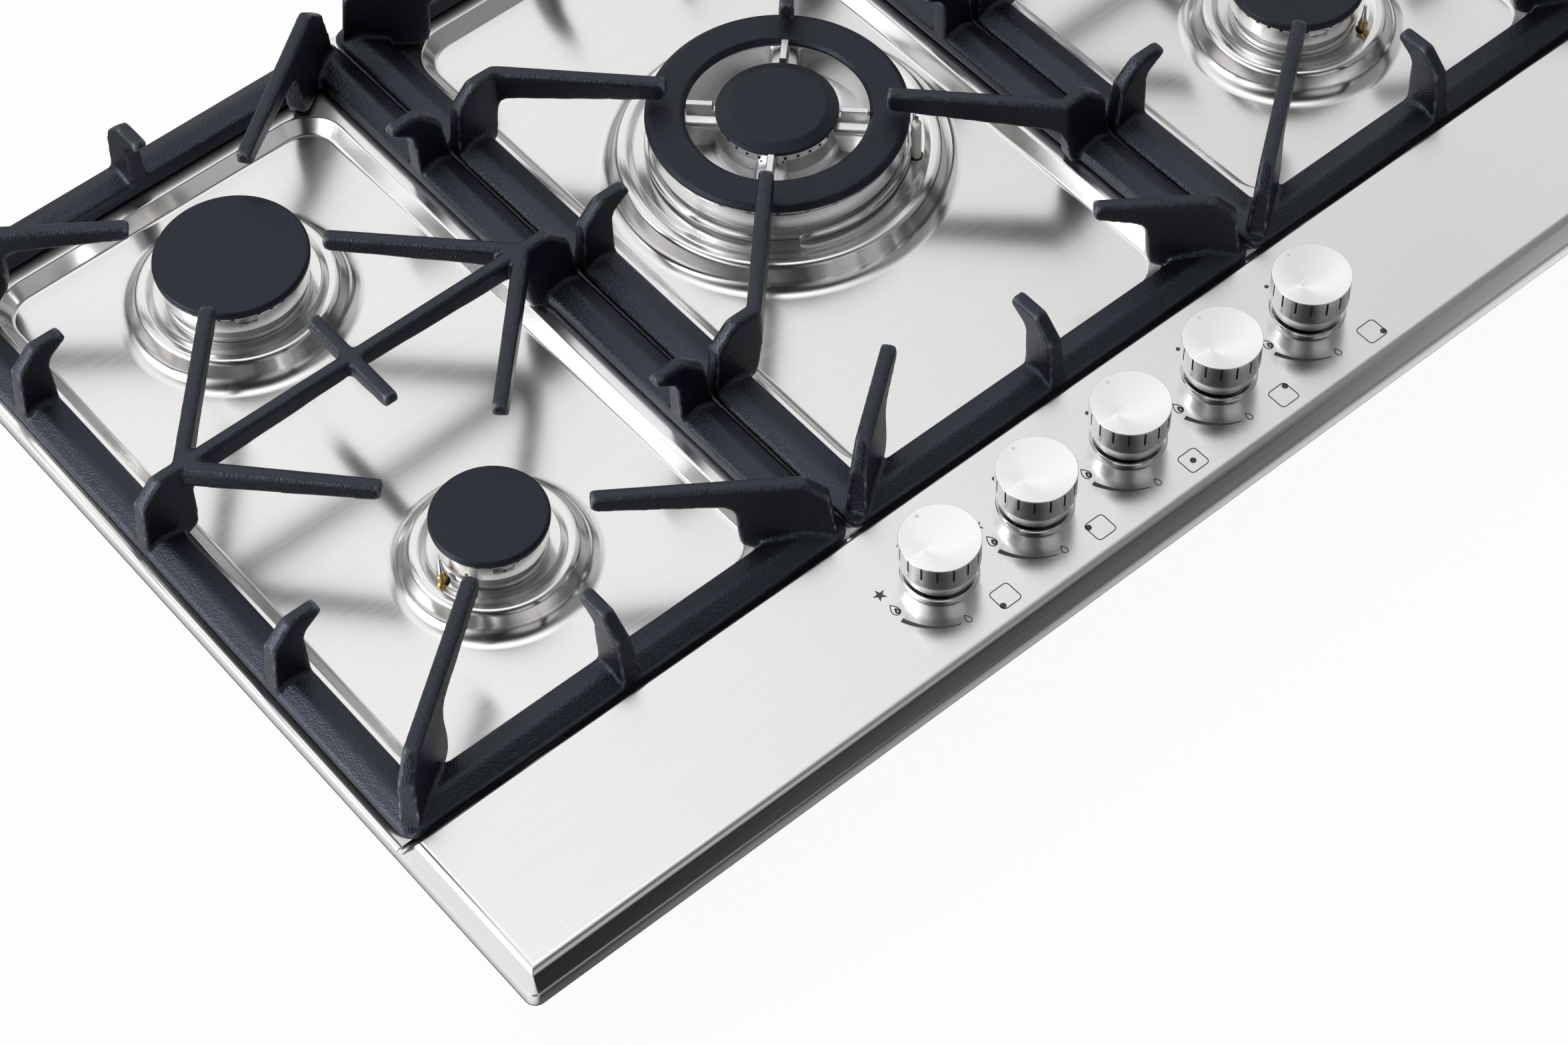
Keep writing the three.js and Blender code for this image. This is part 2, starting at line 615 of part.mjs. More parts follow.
/** The wok burner's crown: an outer flame ring and a round core, joined by four bridges. */
function makeWokCrown(burner) {
  const band = burner.crownRadius;
  const inner = band - WOK_RING_WIDTH;
  const spigot = burner.cupRadius - CUP_WALL - CLEARANCE;
  const foot = CROWN_FOOT_HEIGHT;
  const low = foot - CROWN_SPIGOT_DEPTH;
  const gallery = WOK_CROWN_TOP_HEIGHT - WOK_GALLERY_DEPTH;
  const ring = turned([
    [inner, low],
    [spigot, low],
    [spigot, foot],
    [band, foot],
    [band, WOK_CROWN_TOP_HEIGHT],
    [band - WOK_RING_WALL, WOK_CROWN_TOP_HEIGHT],
    [band - WOK_RING_WALL, gallery],
    [inner + WOK_RING_WALL, gallery],
    [inner + WOK_RING_WALL, WOK_CROWN_TOP_HEIGHT],
    [inner, WOK_CROWN_TOP_HEIGHT],
    [inner, low],
  ], ROUND_WOK);
  const core = turned([
    [0, low],
    [WOK_CORE_RADIUS, low],
    [WOK_CORE_RADIUS, WOK_CENTRE_SEAT_HEIGHT],
    [WOK_CORE_RADIUS - CROWN_WALL, WOK_CENTRE_SEAT_HEIGHT],
    [WOK_CORE_RADIUS - CROWN_WALL, foot + CROWN_DECK],
    [0, foot + CROWN_DECK],
  ]);
  const bridges = [45, 135, 225, 315].map((angle) => block(
    WOK_CORE_RADIUS - 2, inner + 2, -WOK_BRIDGE_WIDTH / 2, WOK_BRIDGE_WIDTH / 2,
    low, WOK_CROWN_TOP_HEIGHT - WOK_BRIDGE_DROP,
  ).rotate([0, 0, angle]));
  return cut(
    join(ring, core, bridges),
    probeNotches(burner, foot - 20, WOK_CROWN_TOP_HEIGHT + 1),
  );
}

/** A round enamelled cap: flat top, rounded edge, and a spigot that centres it in the crown. */
function makeCap(radius, seat, lipRadius) {
  return turned([
    [0, seat - CAP_LIP],
    [lipRadius, seat - CAP_LIP],
    [lipRadius, seat],
    [radius - 1.6, seat],
    [radius, seat + CAP_EDGE],
    [radius - 2.6, seat + CAP_THICKNESS],
    [0, seat + CAP_THICKNESS],
  ]);
}

/** The flat ring that covers the wok burner's outer flame ring, with a lip in the gallery. */
function makeWokRingCap() {
  const seat = WOK_CROWN_TOP_HEIGHT + CLEARANCE;
  const top = seat + WOK_CAP_THICKNESS;
  const outer = WOK_CAP_RADIUS;
  const hole = WOK_CAP_HOLE_RADIUS;
  const lip = WOK_CAP_RADIUS - CROWN_INSET - WOK_RING_WALL - CLEARANCE;
  return turned([
    [hole + 1.5, seat],
    [lip - 2, seat],
    [lip - 2, seat - CAP_LIP],
    [lip, seat - CAP_LIP],
    [lip, seat],
    [outer - 1.6, seat],
    [outer, seat + 1.8],
    [outer - 3, top],
    [hole + 3, top],
    [hole, top - 2.2],
    [hole + 1.5, seat],
  ], ROUND_WOK);
}

function makeIgniter(height) {
  const collar = turned([
    [0, -PROBE_DEPTH],
    [IGNITER_RADIUS + PROBE_COLLAR, -PROBE_DEPTH],
    [IGNITER_RADIUS + PROBE_COLLAR, -PROBE_DEPTH + 6],
    [IGNITER_RADIUS, -PROBE_DEPTH + 7.5],
    [IGNITER_RADIUS, height - 4],
    [IGNITER_RADIUS - 0.6, height - 3],
    [IGNITER_TIP_RADIUS, height - 3],
    [IGNITER_TIP_RADIUS, height],
    [0, height],
  ], ROUND_TINY);
  return collar;
}

function makeThermocouple(height) {
  return turned([
    [0, -PROBE_DEPTH],
    [THERMOCOUPLE_RADIUS + PROBE_COLLAR, -PROBE_DEPTH],
    [THERMOCOUPLE_RADIUS + PROBE_COLLAR, -PROBE_DEPTH + 5],
    [THERMOCOUPLE_RADIUS, -PROBE_DEPTH + 5],
    [THERMOCOUPLE_RADIUS, height - 9],
    [THERMOCOUPLE_RADIUS - 0.9, height - 5],
    [THERMOCOUPLE_RADIUS - 1.1, height - 1],
    [0, height],
  ], ROUND_TINY);
}

// ---------------------------------------------------------------- knobs and taps

/** A round bar with one flat, the section that spindle, knob and plug share. */
function flattedRod(radius, flat, z0, z1) {
  const round = drum(radius, z0, z1, { sides: ROUND_SMALL });
  return round.subtract(block(-2 * radius, 2 * radius, -2 * radius, -flat, z0 - 1, z1 + 1));
}

function makeKnob() {
  const top = knobTop;
  const base = knobBase;
  const grip = top - KNOB_GRIP_HEIGHT;
  const shell = turned([
    [0, base],
    [KNOB_NECK_RADIUS, base],
    [KNOB_NECK_RADIUS + KNOB_SWELL * (KNOB_RADIUS - KNOB_NECK_RADIUS), (base + grip) / 2],
    [KNOB_RADIUS, grip],
    [KNOB_RADIUS, top],
    [0, top],
  ]);
  const hollow = turned([
    [KNOB_BOSS_RADIUS, base - 1],
    [KNOB_NECK_RADIUS - KNOB_WALL, base - 1],
    [KNOB_NECK_RADIUS - KNOB_WALL + 0.4, top - 5],
    [KNOB_BOSS_RADIUS, top - 5],
    [KNOB_BOSS_RADIUS, base - 1],
  ], ROUND_SMALL);
  const mark = drum(KNOB_MARK_RADIUS, top - 0.5, top + 1, {
    y: KNOB_RADIUS - KNOB_MARK_FROM_EDGE, sides: ROUND_TINY,
  });
  const socket = flattedRod(SPINDLE_RADIUS + SPINDLE_FIT, SPINDLE_FLAT + SPINDLE_FIT, base - 1, top - 6);
  return cut(shell, hollow, mark, socket);
}

const makeSpindle = () =>
  flattedRod(SPINDLE_RADIUS, SPINDLE_FLAT, SPINDLE_BASE_HEIGHT, knobTop - 6 - SPINDLE_FIT);

/** The brass plug that turns in the tap and carries the spindle in a flatted socket. */
function makePlug() {
  const top = TAP_TOP_HEIGHT + TAP_COLLAR_HEIGHT - 2;
  const body = drum(PLUG_TOP_RADIUS - PLUG_TAPER, top - PLUG_LENGTH, top, { top: PLUG_TOP_RADIUS });
  const port = rod(2, 'y', 0, PLUG_TOP_RADIUS + 1, { z: PIPE_HEIGHT + 2, sides: 8 });
  const deep = Math.min(top - PLUG_SOCKET_DEPTH, SPINDLE_BASE_HEIGHT - KNOB_TRAVEL - SPINDLE_FIT);
  return cut(body, flattedRod(SPINDLE_RADIUS + SPINDLE_FIT, SPINDLE_FLAT + SPINDLE_FIT, deep, top + 1), port);
}

function makeTapBody() {
  const top = TAP_TOP_HEIGHT + TAP_COLLAR_HEIGHT;
  const plugTop = top - 2;
  const bore = drum(PLUG_TOP_RADIUS - PLUG_TAPER + CLEARANCE, plugTop - PLUG_LENGTH - CLEARANCE, plugTop, {
    top: PLUG_TOP_RADIUS + CLEARANCE,
  });
  const mouth = drum(PLUG_TOP_RADIUS + CLEARANCE, plugTop - 0.01, top + 1);
  const body = join(
    block(
      -TAP_BODY_WIDTH / 2, TAP_BODY_WIDTH / 2, -TAP_BODY_DEPTH / 2, TAP_BODY_DEPTH / 2, tapBottom, TAP_TOP_HEIGHT,
    ),
    drum(TAP_COLLAR_RADIUS, TAP_TOP_HEIGHT - 1, top),
    rod(TAP_OUTLET_RADIUS, 'y', TAP_BODY_DEPTH / 2 - 1, TAP_BODY_DEPTH / 2 + TAP_OUTLET_LENGTH, { z: PIPE_HEIGHT }),
    drum(TAP_OUTLET_RADIUS, tapBottom - TAP_INLET_LENGTH, tapBottom + 1, { sides: ROUND_SMALL }),
  );
  return cut(body, bore, mouth);
}

// ---------------------------------------------------------------- gas supply

const knobColumns = [-2, -1, 0, 1, 2].map((step) => step * KNOB_PITCH);

/** Where a burner's inlet arm ends and which way it points from the cup. */
function inletOf(burner) {
  const side = Math.sign(burner.x);
  return { reach: burner.cupRadius + 14, angle: side < 0 ? 0 : side > 0 ? 180 : -90 };
}

function pipeRoute(burner, column) {
  const start = knobY + TAP_BODY_DEPTH / 2 + TAP_OUTLET_LENGTH + CLEARANCE;
  const { reach } = inletOf(burner);
  const side = Math.sign(burner.x);
  if (side === 0) {
    return [[0, start, PIPE_HEIGHT], [0, burner.y - reach, PIPE_HEIGHT]];
  }
  const end = burner.x - side * reach;
  const lane = side * (burner.y > fieldY ? columnPitch / 2 - 18 : columnPitch / 2 + 12);
  const turn = start + (burner.y > fieldY ? 46 : 22);
  return [
    [column, start, PIPE_HEIGHT],
    [column, turn, PIPE_HEIGHT],
    [lane, turn, PIPE_HEIGHT],
    [lane, burner.y, PIPE_HEIGHT],
    [end, burner.y, PIPE_HEIGHT],
  ];
}

function makeRail() {
  const back = elbowY - ELBOW_BODY / 2 - CLEARANCE;
  const tube = pipe([
    [-RAIL_START, knobY, railHeight],
    [elbowX, knobY, railHeight],
    [elbowX, back, railHeight],
  ], RAIL_RADIUS, { bend: 34, sides: ROUND_SMALL });
  const saddles = knobColumns.map((x) => drum(
    TAP_OUTLET_RADIUS + 1.5, railHeight, railHeight + RAIL_RADIUS + RAIL_SADDLE, { x, y: knobY, sides: ROUND_SMALL },
  ));
  return join(tube, saddles);
}

/** Inlet elbow: a square body on the rail's end, with the threaded mouth pointing down. */
function makeElbow() {
  const half = ELBOW_BODY / 2;
  const body = stacked([
    { z: railHeight - half, box: inset(ELBOW_BODY, ELBOW_BODY, 0), radius: 4 },
    { z: railHeight + half, box: inset(ELBOW_BODY, ELBOW_BODY, 0), radius: 4 },
  ]);
  const mouth = drum(ELBOW_RADIUS, -worktop + CLEARANCE, railHeight, { sides: ROUND_SMALL });
  const bore = drum(ELBOW_BORE_RADIUS, -worktop - 1, -worktop + ELBOW_BORE_DEPTH, { sides: ROUND_SMALL });
  return join(body, mouth).subtract(bore);
}

function makeBox() {
  const side = (amount) => [
    -PAN_WIDTH / 2 + BOX_SIDE_INSET + amount,
    PAN_WIDTH / 2 - BOX_SIDE_INSET - amount,
    -PAN_DEPTH / 2 + BOX_FRONT_INSET + amount,
    PAN_DEPTH / 2 - BOX_REAR_INSET - amount,
  ];
  const rim = LEDGE_HEIGHT - SHEET - BOX_RIM_GAP;
  const outside = stacked([
    { z: -worktop, box: side(2), radius: BOX_CORNER_RADIUS },
    { z: -worktop + 2, box: side(0), radius: BOX_CORNER_RADIUS },
    { z: rim, box: side(0), radius: BOX_CORNER_RADIUS },
  ]);
  const inside = stacked([
    { z: -worktop + BOX_SHEET, box: side(2 + BOX_SHEET), radius: BOX_CORNER_RADIUS - BOX_SHEET },
    { z: -worktop + 2 + BOX_SHEET, box: side(BOX_SHEET), radius: BOX_CORNER_RADIUS - BOX_SHEET },
    { z: rim + 1, box: side(BOX_SHEET), radius: BOX_CORNER_RADIUS - BOX_SHEET },
  ]);
  const vents = [];
  for (let i = 0; i < BOX_VENTS; i += 1) {
    const x = (i - (BOX_VENTS - 1) / 2) * BOX_VENT_LENGTH * 1.4;
    vents.push(block(
      x - BOX_VENT_LENGTH / 2, x + BOX_VENT_LENGTH / 2, -BOX_VENT_WIDTH / 2, BOX_VENT_WIDTH / 2, -worktop - 1, -worktop + 3,
    ));
  }
  const elbowHole = drum(ELBOW_RADIUS + 1.5, -worktop - 1, -worktop + 5, {
    x: elbowX, y: elbowY, sides: ROUND_SMALL,
  });
  return cut(outside, inside, vents, elbowHole);
}

function makeSeal() {
  const height = LEDGE_HEIGHT - SHEET - CLEARANCE;
  const level = (z, amount, radius) => ({ z, box: inset(PAN_WIDTH, PAN_DEPTH, amount), radius });
  const outer = stacked([
    level(0, SEAL_INSET, PAN_CORNER_RADIUS),
    level(height, SEAL_INSET, PAN_CORNER_RADIUS),
  ]);
  const inner = stacked([
    level(-1, SEAL_INSET + SEAL_WIDTH, PAN_CORNER_RADIUS),
    level(height + 1, SEAL_INSET + SEAL_WIDTH, PAN_CORNER_RADIUS),
  ]);
  return outer.subtract(inner);
}

function makeSparkUnit() {
  const [length, depth, height] = SPARK_UNIT_SIZE;
  const bottom = -worktop + BOX_SHEET + CLEARANCE;
  const body = stacked([
    { z: bottom, box: inset(length, depth, 0), radius: 4 },
    { z: bottom + height, box: inset(length, depth, 1), radius: 4 },
  ]);
  const studs = [-2, -1, 0, 1, 2].map((step) => rod(
    SPARK_STUD_RADIUS, 'y', -depth / 2 - SPARK_STUD_LENGTH, -depth / 2 + 1,
    { x: step * length / 6, z: bottom + height / 2, sides: ROUND_TINY },
  ));
  return join(body, studs);
}

// ---------------------------------------------------------------- cast pan supports

const below = (depth) => SUPPORT_HEIGHT - depth;

/** The rectangular frame of low bars with a crest along the top, on four feet. */
function grateFrame(column) {
  const level = (z, amount, radius) =>
    ({ z, box: inset(grateWidth, grateLength, amount, column, fieldY), radius });
  const outside = stacked([
    level(BAR_BOTTOM, 0.3, BAR_CORNER_RADIUS),
    level(BAR_EDGE_HEIGHT, 0, BAR_CORNER_RADIUS),
    level(BAR_CREST_HEIGHT, BAR_CREST_INSET, BAR_CORNER_RADIUS),
  ]);
  const inside = stacked([
    level(BAR_BOTTOM - 1, BAR_WIDTH + 0.6, BAR_CORNER_RADIUS),
    level(BAR_INNER_HEIGHT, BAR_WIDTH, BAR_CORNER_RADIUS),
    level(BAR_CREST_HEIGHT + 0.02, BAR_CREST_INSET + 1.2, BAR_CORNER_RADIUS),
  ]);
  const feet = [];
  for (const sx of [-1, 1]) {
    for (const sy of [-1, 1]) {
      feet.push(drum(FOOT_RADIUS, LEDGE_HEIGHT + CLEARANCE, BAR_BOTTOM + 3, {
        x: column + sx * (grateWidth / 2 - BAR_WIDTH / 2),
        y: fieldY + sy * (grateLength / 2 - BAR_WIDTH / 2),
        sides: ROUND_TINY,
      }));
    }
  }
  return join(outside.subtract(inside), feet);
}

/** Profile of a root web that grows out of a bar: leaning outer edge and chamfered shoulder. */
const webEdge = [
  [0, BAR_BOTTOM + 1.5],
  [WEB_LEAN, SUPPORT_HEIGHT - WEB_CHAMFER],
  [WEB_LEAN + WEB_CHAMFER, SUPPORT_HEIGHT],
];

/** Profile of a finger that ends in a blunt tip, with `root` as the inner edge of its web. */
function fingerProfile(length, root, tipDepth, rootDepth) {
  const profile = webEdge.map(([u, z]) => [u, z]).reverse();
  profile.push([0, BAR_BOTTOM + 1.5], [root - 3, BAR_BOTTOM + 1.5], [root, BAR_INNER_HEIGHT + 2]);
  profile.push([root + 0.5, below(rootDepth) - 5], [root + 6, below(rootDepth)]);
  profile.push([length - 1.5, below(tipDepth)], [length + 0.8, below(tipDepth - 2)]);
  profile.push([length, SUPPORT_HEIGHT]);
  return profile.filter(([u, z], i, all) => i === 0 || u !== all[i - 1][0] || z !== all[i - 1][1]).reverse();
}

/** A short stub: upright web on the bar with an overhanging tip. */
function stubProfile(length) {
  const root = Math.min(BAR_WIDTH, length - 8);
  return [
    ...webEdge.slice(0, 1),
    [root, BAR_BOTTOM + 1.5],
    [root, SUPPORT_HEIGHT - 14],
    [root + 2.2, SUPPORT_HEIGHT - 10.5],
    [length + 0.8, SUPPORT_HEIGHT - 5],
    [length, SUPPORT_HEIGHT],
    [WEB_LEAN + WEB_CHAMFER, SUPPORT_HEIGHT],
    [WEB_LEAN, SUPPORT_HEIGHT - WEB_CHAMFER],
  ];
}

/** A finger with no web of its own, from a junction to its tip. */
const beamProfile = (length, tipDepth, rootDepth) => [
  [0, below(rootDepth)],
  [length - 1.5, below(tipDepth)],
  [length + 0.8, below(tipDepth - 2)],
  [length, SUPPORT_HEIGHT],
  [0, SUPPORT_HEIGHT],
];

const distance = (a, b) => Math.hypot(b[0] - a[0], b[1] - a[1]);

/** Stubs stand on the bars opposite a burner, one per given [x, y] and direction. */
const stub = (from, towards) => plate(stubProfile(STUB_REACH), from, [from[0] + towards[0], from[1] + towards[1]]);

/** One outer pan support: two burners, long diagonal fingers and a cross bar between them. */
function makeOuterGrate(side) {
  const column = side * columnPitch;
  const centre = side * gratePitch;
  const west = centre - grateWidth / 2;
  const east = centre + grateWidth / 2;
  const south = fieldY - grateLength / 2;
  const north = fieldY + grateLength / 2;
  const pieces = [grateFrame(centre)];
  for (const sx of [-1, 1]) {
    const edge = sx < 0 ? west : east;
    for (const sy of [-1, 1]) {
      const burnerY = fieldY + sy * rowPitch / 2;
      const corner = [edge - sx * CORNER_ROOT_INSET / 2, (sy < 0 ? south : north) - sy * CORNER_ROOT_INSET / 2];
      const tip = [column + sx * TIP_REACH, burnerY + sy * TIP_REACH];
      const length = distance(corner, tip);
      pieces.push(plate(fingerProfile(length, CORNER_WEB_LENGTH, FINGER_TIP_DEPTH, FINGER_ROOT_DEPTH), corner, tip));
      const fork = [edge - sx * BRACKET_LENGTH, fieldY];
      const inner = [column + sx * TIP_REACH, burnerY - sy * TIP_REACH];
      const run = distance(fork, inner);
      pieces.push(plate(beamProfile(run, FINGER_TIP_DEPTH, FINGER_ROOT_DEPTH), fork, inner));
      pieces.push(stub([edge, burnerY], [-sx, 0]));
    }
    const start = [edge, fieldY];
    const middle = [column, fieldY];
    const half = distance(start, middle) + 2;
    pieces.push(plate(
      fingerProfile(half, BRACKET_LENGTH, FINGER_TIP_DEPTH, FINGER_ROOT_DEPTH), start, middle,
    ));
  }
  for (const sy of [-1, 1]) {
    pieces.push(stub([column, sy < 0 ? south : north], [0, -sy]));
    pieces.push(plate(
      beamProfile(CROSS_STUB_REACH, FINGER_TIP_DEPTH - 1, FINGER_TIP_DEPTH + 1),
      [column, fieldY],
      [column, fieldY + sy * CROSS_STUB_REACH],
    ));
  }
  return join(pieces);
}

/** The middle pan support: four bent fingers over the wok burner and short corner fingers. */
function makeCentreGrate() {
  const pieces = [grateFrame(0)];
  const south = fieldY - grateLength / 2;
  const north = fieldY + grateLength / 2;
  for (const sx of [-1, 1]) {
    const edge = sx * grateWidth / 2;
    for (const sy of [-1, 1]) {
      const rootY = fieldY + sy * (rowPitch / 2 - 2);
      const start = [edge, rootY];
      const elbow = [edge - sx * BRACKET_LENGTH, rootY];
      const tip = [sx * WOK_TIP_REACH, fieldY + sy * WOK_TIP_REACH];
      pieces.push(plate([
        ...webEdge.slice(0, 1),
        [BRACKET_LENGTH - 2, BAR_BOTTOM + 1.5],
        [BRACKET_LENGTH, BAR_INNER_HEIGHT + 2],
        [BRACKET_LENGTH + 2, SUPPORT_HEIGHT - WOK_FINGER_ROOT_DEPTH],
        [BRACKET_LENGTH + 2, SUPPORT_HEIGHT],
        [WEB_LEAN + WEB_CHAMFER, SUPPORT_HEIGHT],
        [WEB_LEAN, SUPPORT_HEIGHT - WEB_CHAMFER],
      ], start, elbow));
      pieces.push(plate(
        beamProfile(distance(elbow, tip), WOK_FINGER_TIP_DEPTH, WOK_FINGER_ROOT_DEPTH), elbow, tip,
      ));
      const corner = [edge - sx * CORNER_ROOT_INSET / 2, (sy < 0 ? south : north) - sy * CORNER_ROOT_INSET / 2];
      const slope = Math.atan2(sy * (TIP_REACH - grateLength / 2 + rowPitch / 2), sx * (TIP_REACH - grateWidth / 2));
      const short = [
        corner[0] + SHORT_FINGER_REACH * Math.cos(slope),
        corner[1] + SHORT_FINGER_REACH * Math.sin(slope),
      ];
      pieces.push(plate(
        fingerProfile(SHORT_FINGER_REACH, CORNER_WEB_LENGTH, FINGER_TIP_DEPTH, FINGER_ROOT_DEPTH), corner, short,
      ));
    }
    pieces.push(stub([edge, fieldY], [-sx, 0]));
  }
  for (const sy of [-1, 1]) {
    pieces.push(stub([0, sy < 0 ? south : north], [0, -sy]));
  }
  return join(pieces);
}

// ---------------------------------------------------------------- assembly

const group = new THREE.Group();
const hob = new THREE.Group();
hob.position.z = worktop;
group.add(hob);

function place(name, geometry, material, x = 0, y = 0) {
  const mesh = new THREE.Mesh(geometry, material);
  mesh.name = name;
  mesh.position.set(x, y, 0);
  hob.add(mesh);
  return mesh;
}

const add = (name, solid, material, x, y) => place(name, geometryOf(solid), material, x, y);

add('top_pan', makeTopPan(), materials.steel);
add('burner_box', makeBox(), materials.tray);
add('worktop_seal', makeSeal(), materials.foam);
add('gas_rail', makeRail(), materials.pipe);
add('gas_inlet_elbow', makeElbow(), materials.brass, elbowX, elbowY);
add(
  'spark_unit', makeSparkUnit(), materials.plastic,
  -columnPitch / 2, PAN_DEPTH / 2 - BOX_REAR_INSET - SPARK_UNIT_SIZE[1] / 2 - SPARK_UNIT_FROM_WALL,
);

add('pan_support_left', makeOuterGrate(-1), materials.iron);
add('pan_support_centre', makeCentreGrate(), materials.iron);
add('pan_support_right', makeOuterGrate(1), materials.iron);

const knobGeometry = geometryOf(makeKnob());
const spindleGeometry = geometryOf(makeSpindle());
const plugGeometry = geometryOf(makePlug());
const tapGeometry = geometryOf(makeTapBody());

burners.forEach((burner, index) => {
  const { name, x, y } = burner;
  const column = knobColumns[index];
  place(`tap_body_${name}`, tapGeometry, materials.brass, column, knobY);
  place(`tap_plug_${name}`, plugGeometry, materials.brass, column, knobY);
  place(`tap_spindle_${name}`, spindleGeometry, materials.pipe, column, knobY);
  place(`knob_${name}`, knobGeometry, materials.knob, column, knobY);
  add(`gas_pipe_${name}`, pipe(pipeRoute(burner, column), PIPE_RADIUS), materials.pipe);
  add(`burner_cup_${name}`, makeCup(burner), materials.alloy, x, y);

  const seat = isWok(burner) ? WOK_CROWN_TOP_HEIGHT : CROWN_TOP_HEIGHT;
  add(`flame_crown_${name}`, isWok(burner) ? makeWokCrown(burner) : makeCrown(burner), materials.alloy, x, y);
  if (isWok(burner)) {
    add('burner_cap_wok_ring', makeWokRingCap(), materials.enamel, x, y);
    add('burner_cap_wok_centre', makeCap(
      WOK_CENTRE_CAP_RADIUS, WOK_CENTRE_SEAT_HEIGHT + CLEARANCE, WOK_CORE_RADIUS - CROWN_WALL - CLEARANCE,
    ), materials.enamel, x, y);
  } else {
    add(`burner_cap_${name}`, makeCap(
      burner.capRadius, seat + CLEARANCE, burner.crownRadius - CROWN_WALL - CAP_LIP_PLAY,
    ), materials.enamel, x, y);
  }
  for (const { kind, at } of probes(burner)) {
    const height = seat - (kind === 'igniter' ? 2.4 : 1.6);
    const make = kind === 'igniter' ? makeIgniter : makeThermocouple;
    const material = kind === 'igniter' ? materials.ceramic : materials.brass;
    add(`${kind}_${name}`, make(height), material, x + at[0], y + at[1]);
  }
});

export default group;
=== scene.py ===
"""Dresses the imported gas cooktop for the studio: shapes, finishes, light and camera."""

import logging
import math
from collections.abc import Callable, Sequence
from dataclasses import dataclass, field
from enum import Enum

import bmesh
import bpy
import numpy as np
from mathutils import Matrix, Vector
from mathutils.geometry import delaunay_2d_cdt


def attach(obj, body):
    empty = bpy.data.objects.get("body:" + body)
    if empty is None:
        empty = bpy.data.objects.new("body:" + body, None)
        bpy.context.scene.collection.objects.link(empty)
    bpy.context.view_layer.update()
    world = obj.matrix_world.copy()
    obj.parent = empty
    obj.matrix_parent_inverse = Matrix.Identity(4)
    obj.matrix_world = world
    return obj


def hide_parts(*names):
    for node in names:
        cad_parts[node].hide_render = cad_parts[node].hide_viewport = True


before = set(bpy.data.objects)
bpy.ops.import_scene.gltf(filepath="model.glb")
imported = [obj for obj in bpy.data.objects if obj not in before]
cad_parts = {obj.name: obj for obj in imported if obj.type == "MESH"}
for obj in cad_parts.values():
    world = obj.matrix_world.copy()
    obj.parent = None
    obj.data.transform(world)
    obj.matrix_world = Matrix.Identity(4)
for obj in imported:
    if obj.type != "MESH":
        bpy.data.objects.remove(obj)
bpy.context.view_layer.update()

LOG = logging.getLogger("cooktop")
WORKTOP = 52.0  # millimetres from the origin up to the worktop plane
FULL_TURN = 2 * math.pi
SMOOTH_ANGLE = math.radians(33)

# Heights above the worktop plane and other sizes that several pieces share, in millimetres.
PANEL_TOP = 19.0  # the control strip's face
KNOB_ROW = -208.5  # the knobs' axes along Y
CLEARANCE = 0.3  # gap between pieces that seat on each other
CUP_FOOT = -34.0  # underside of a burner's cup
BAND_FOOT = 18.5  # underside of a crown's band
ARM_LEVEL = -9.0  # axis of a cup's inlet arm
ARM_RADIUS = 6.0  # radius of that arm
ARM_REACH = 13.7  # how far the arm stands out of the cup
PROBE_FOOT = -14.0  # lower end of igniters and thermocouples
LIP = 2.2  # depth of the rim that centres a cap

Plan = tuple[float, float]
Profile = list[tuple[float, float]]
Relief = Callable[[float, float], float]
Path = Sequence[tuple[float, float, float]]  # a section's corners as (across, up, radius)
Mesh = bpy.types.Mesh
Node = bpy.types.Node
Socket = bpy.types.NodeSocket
Outlets = bpy.types.NodeOutputs
Inlets = bpy.types.NodeInputs
Inlet = tuple[str, str, object]


# ------------------------------------------------------------------ surfaces


def within(point: Vector, loop: Sequence[Vector]) -> bool:
    """Tells whether a point lies inside a closed outline in plan.

    Args:
        point: the point.
        loop: the outline's corners.

    Returns:
        True inside it.
    """
    found = False
    for a, b in zip(loop, [*loop[1:], loop[0]]):
        if (a.y > point.y) != (b.y > point.y) and point.x < a.x + (point.y - a.y) / (b.y - a.y) * (b.x - a.x):
            found = not found
    return found


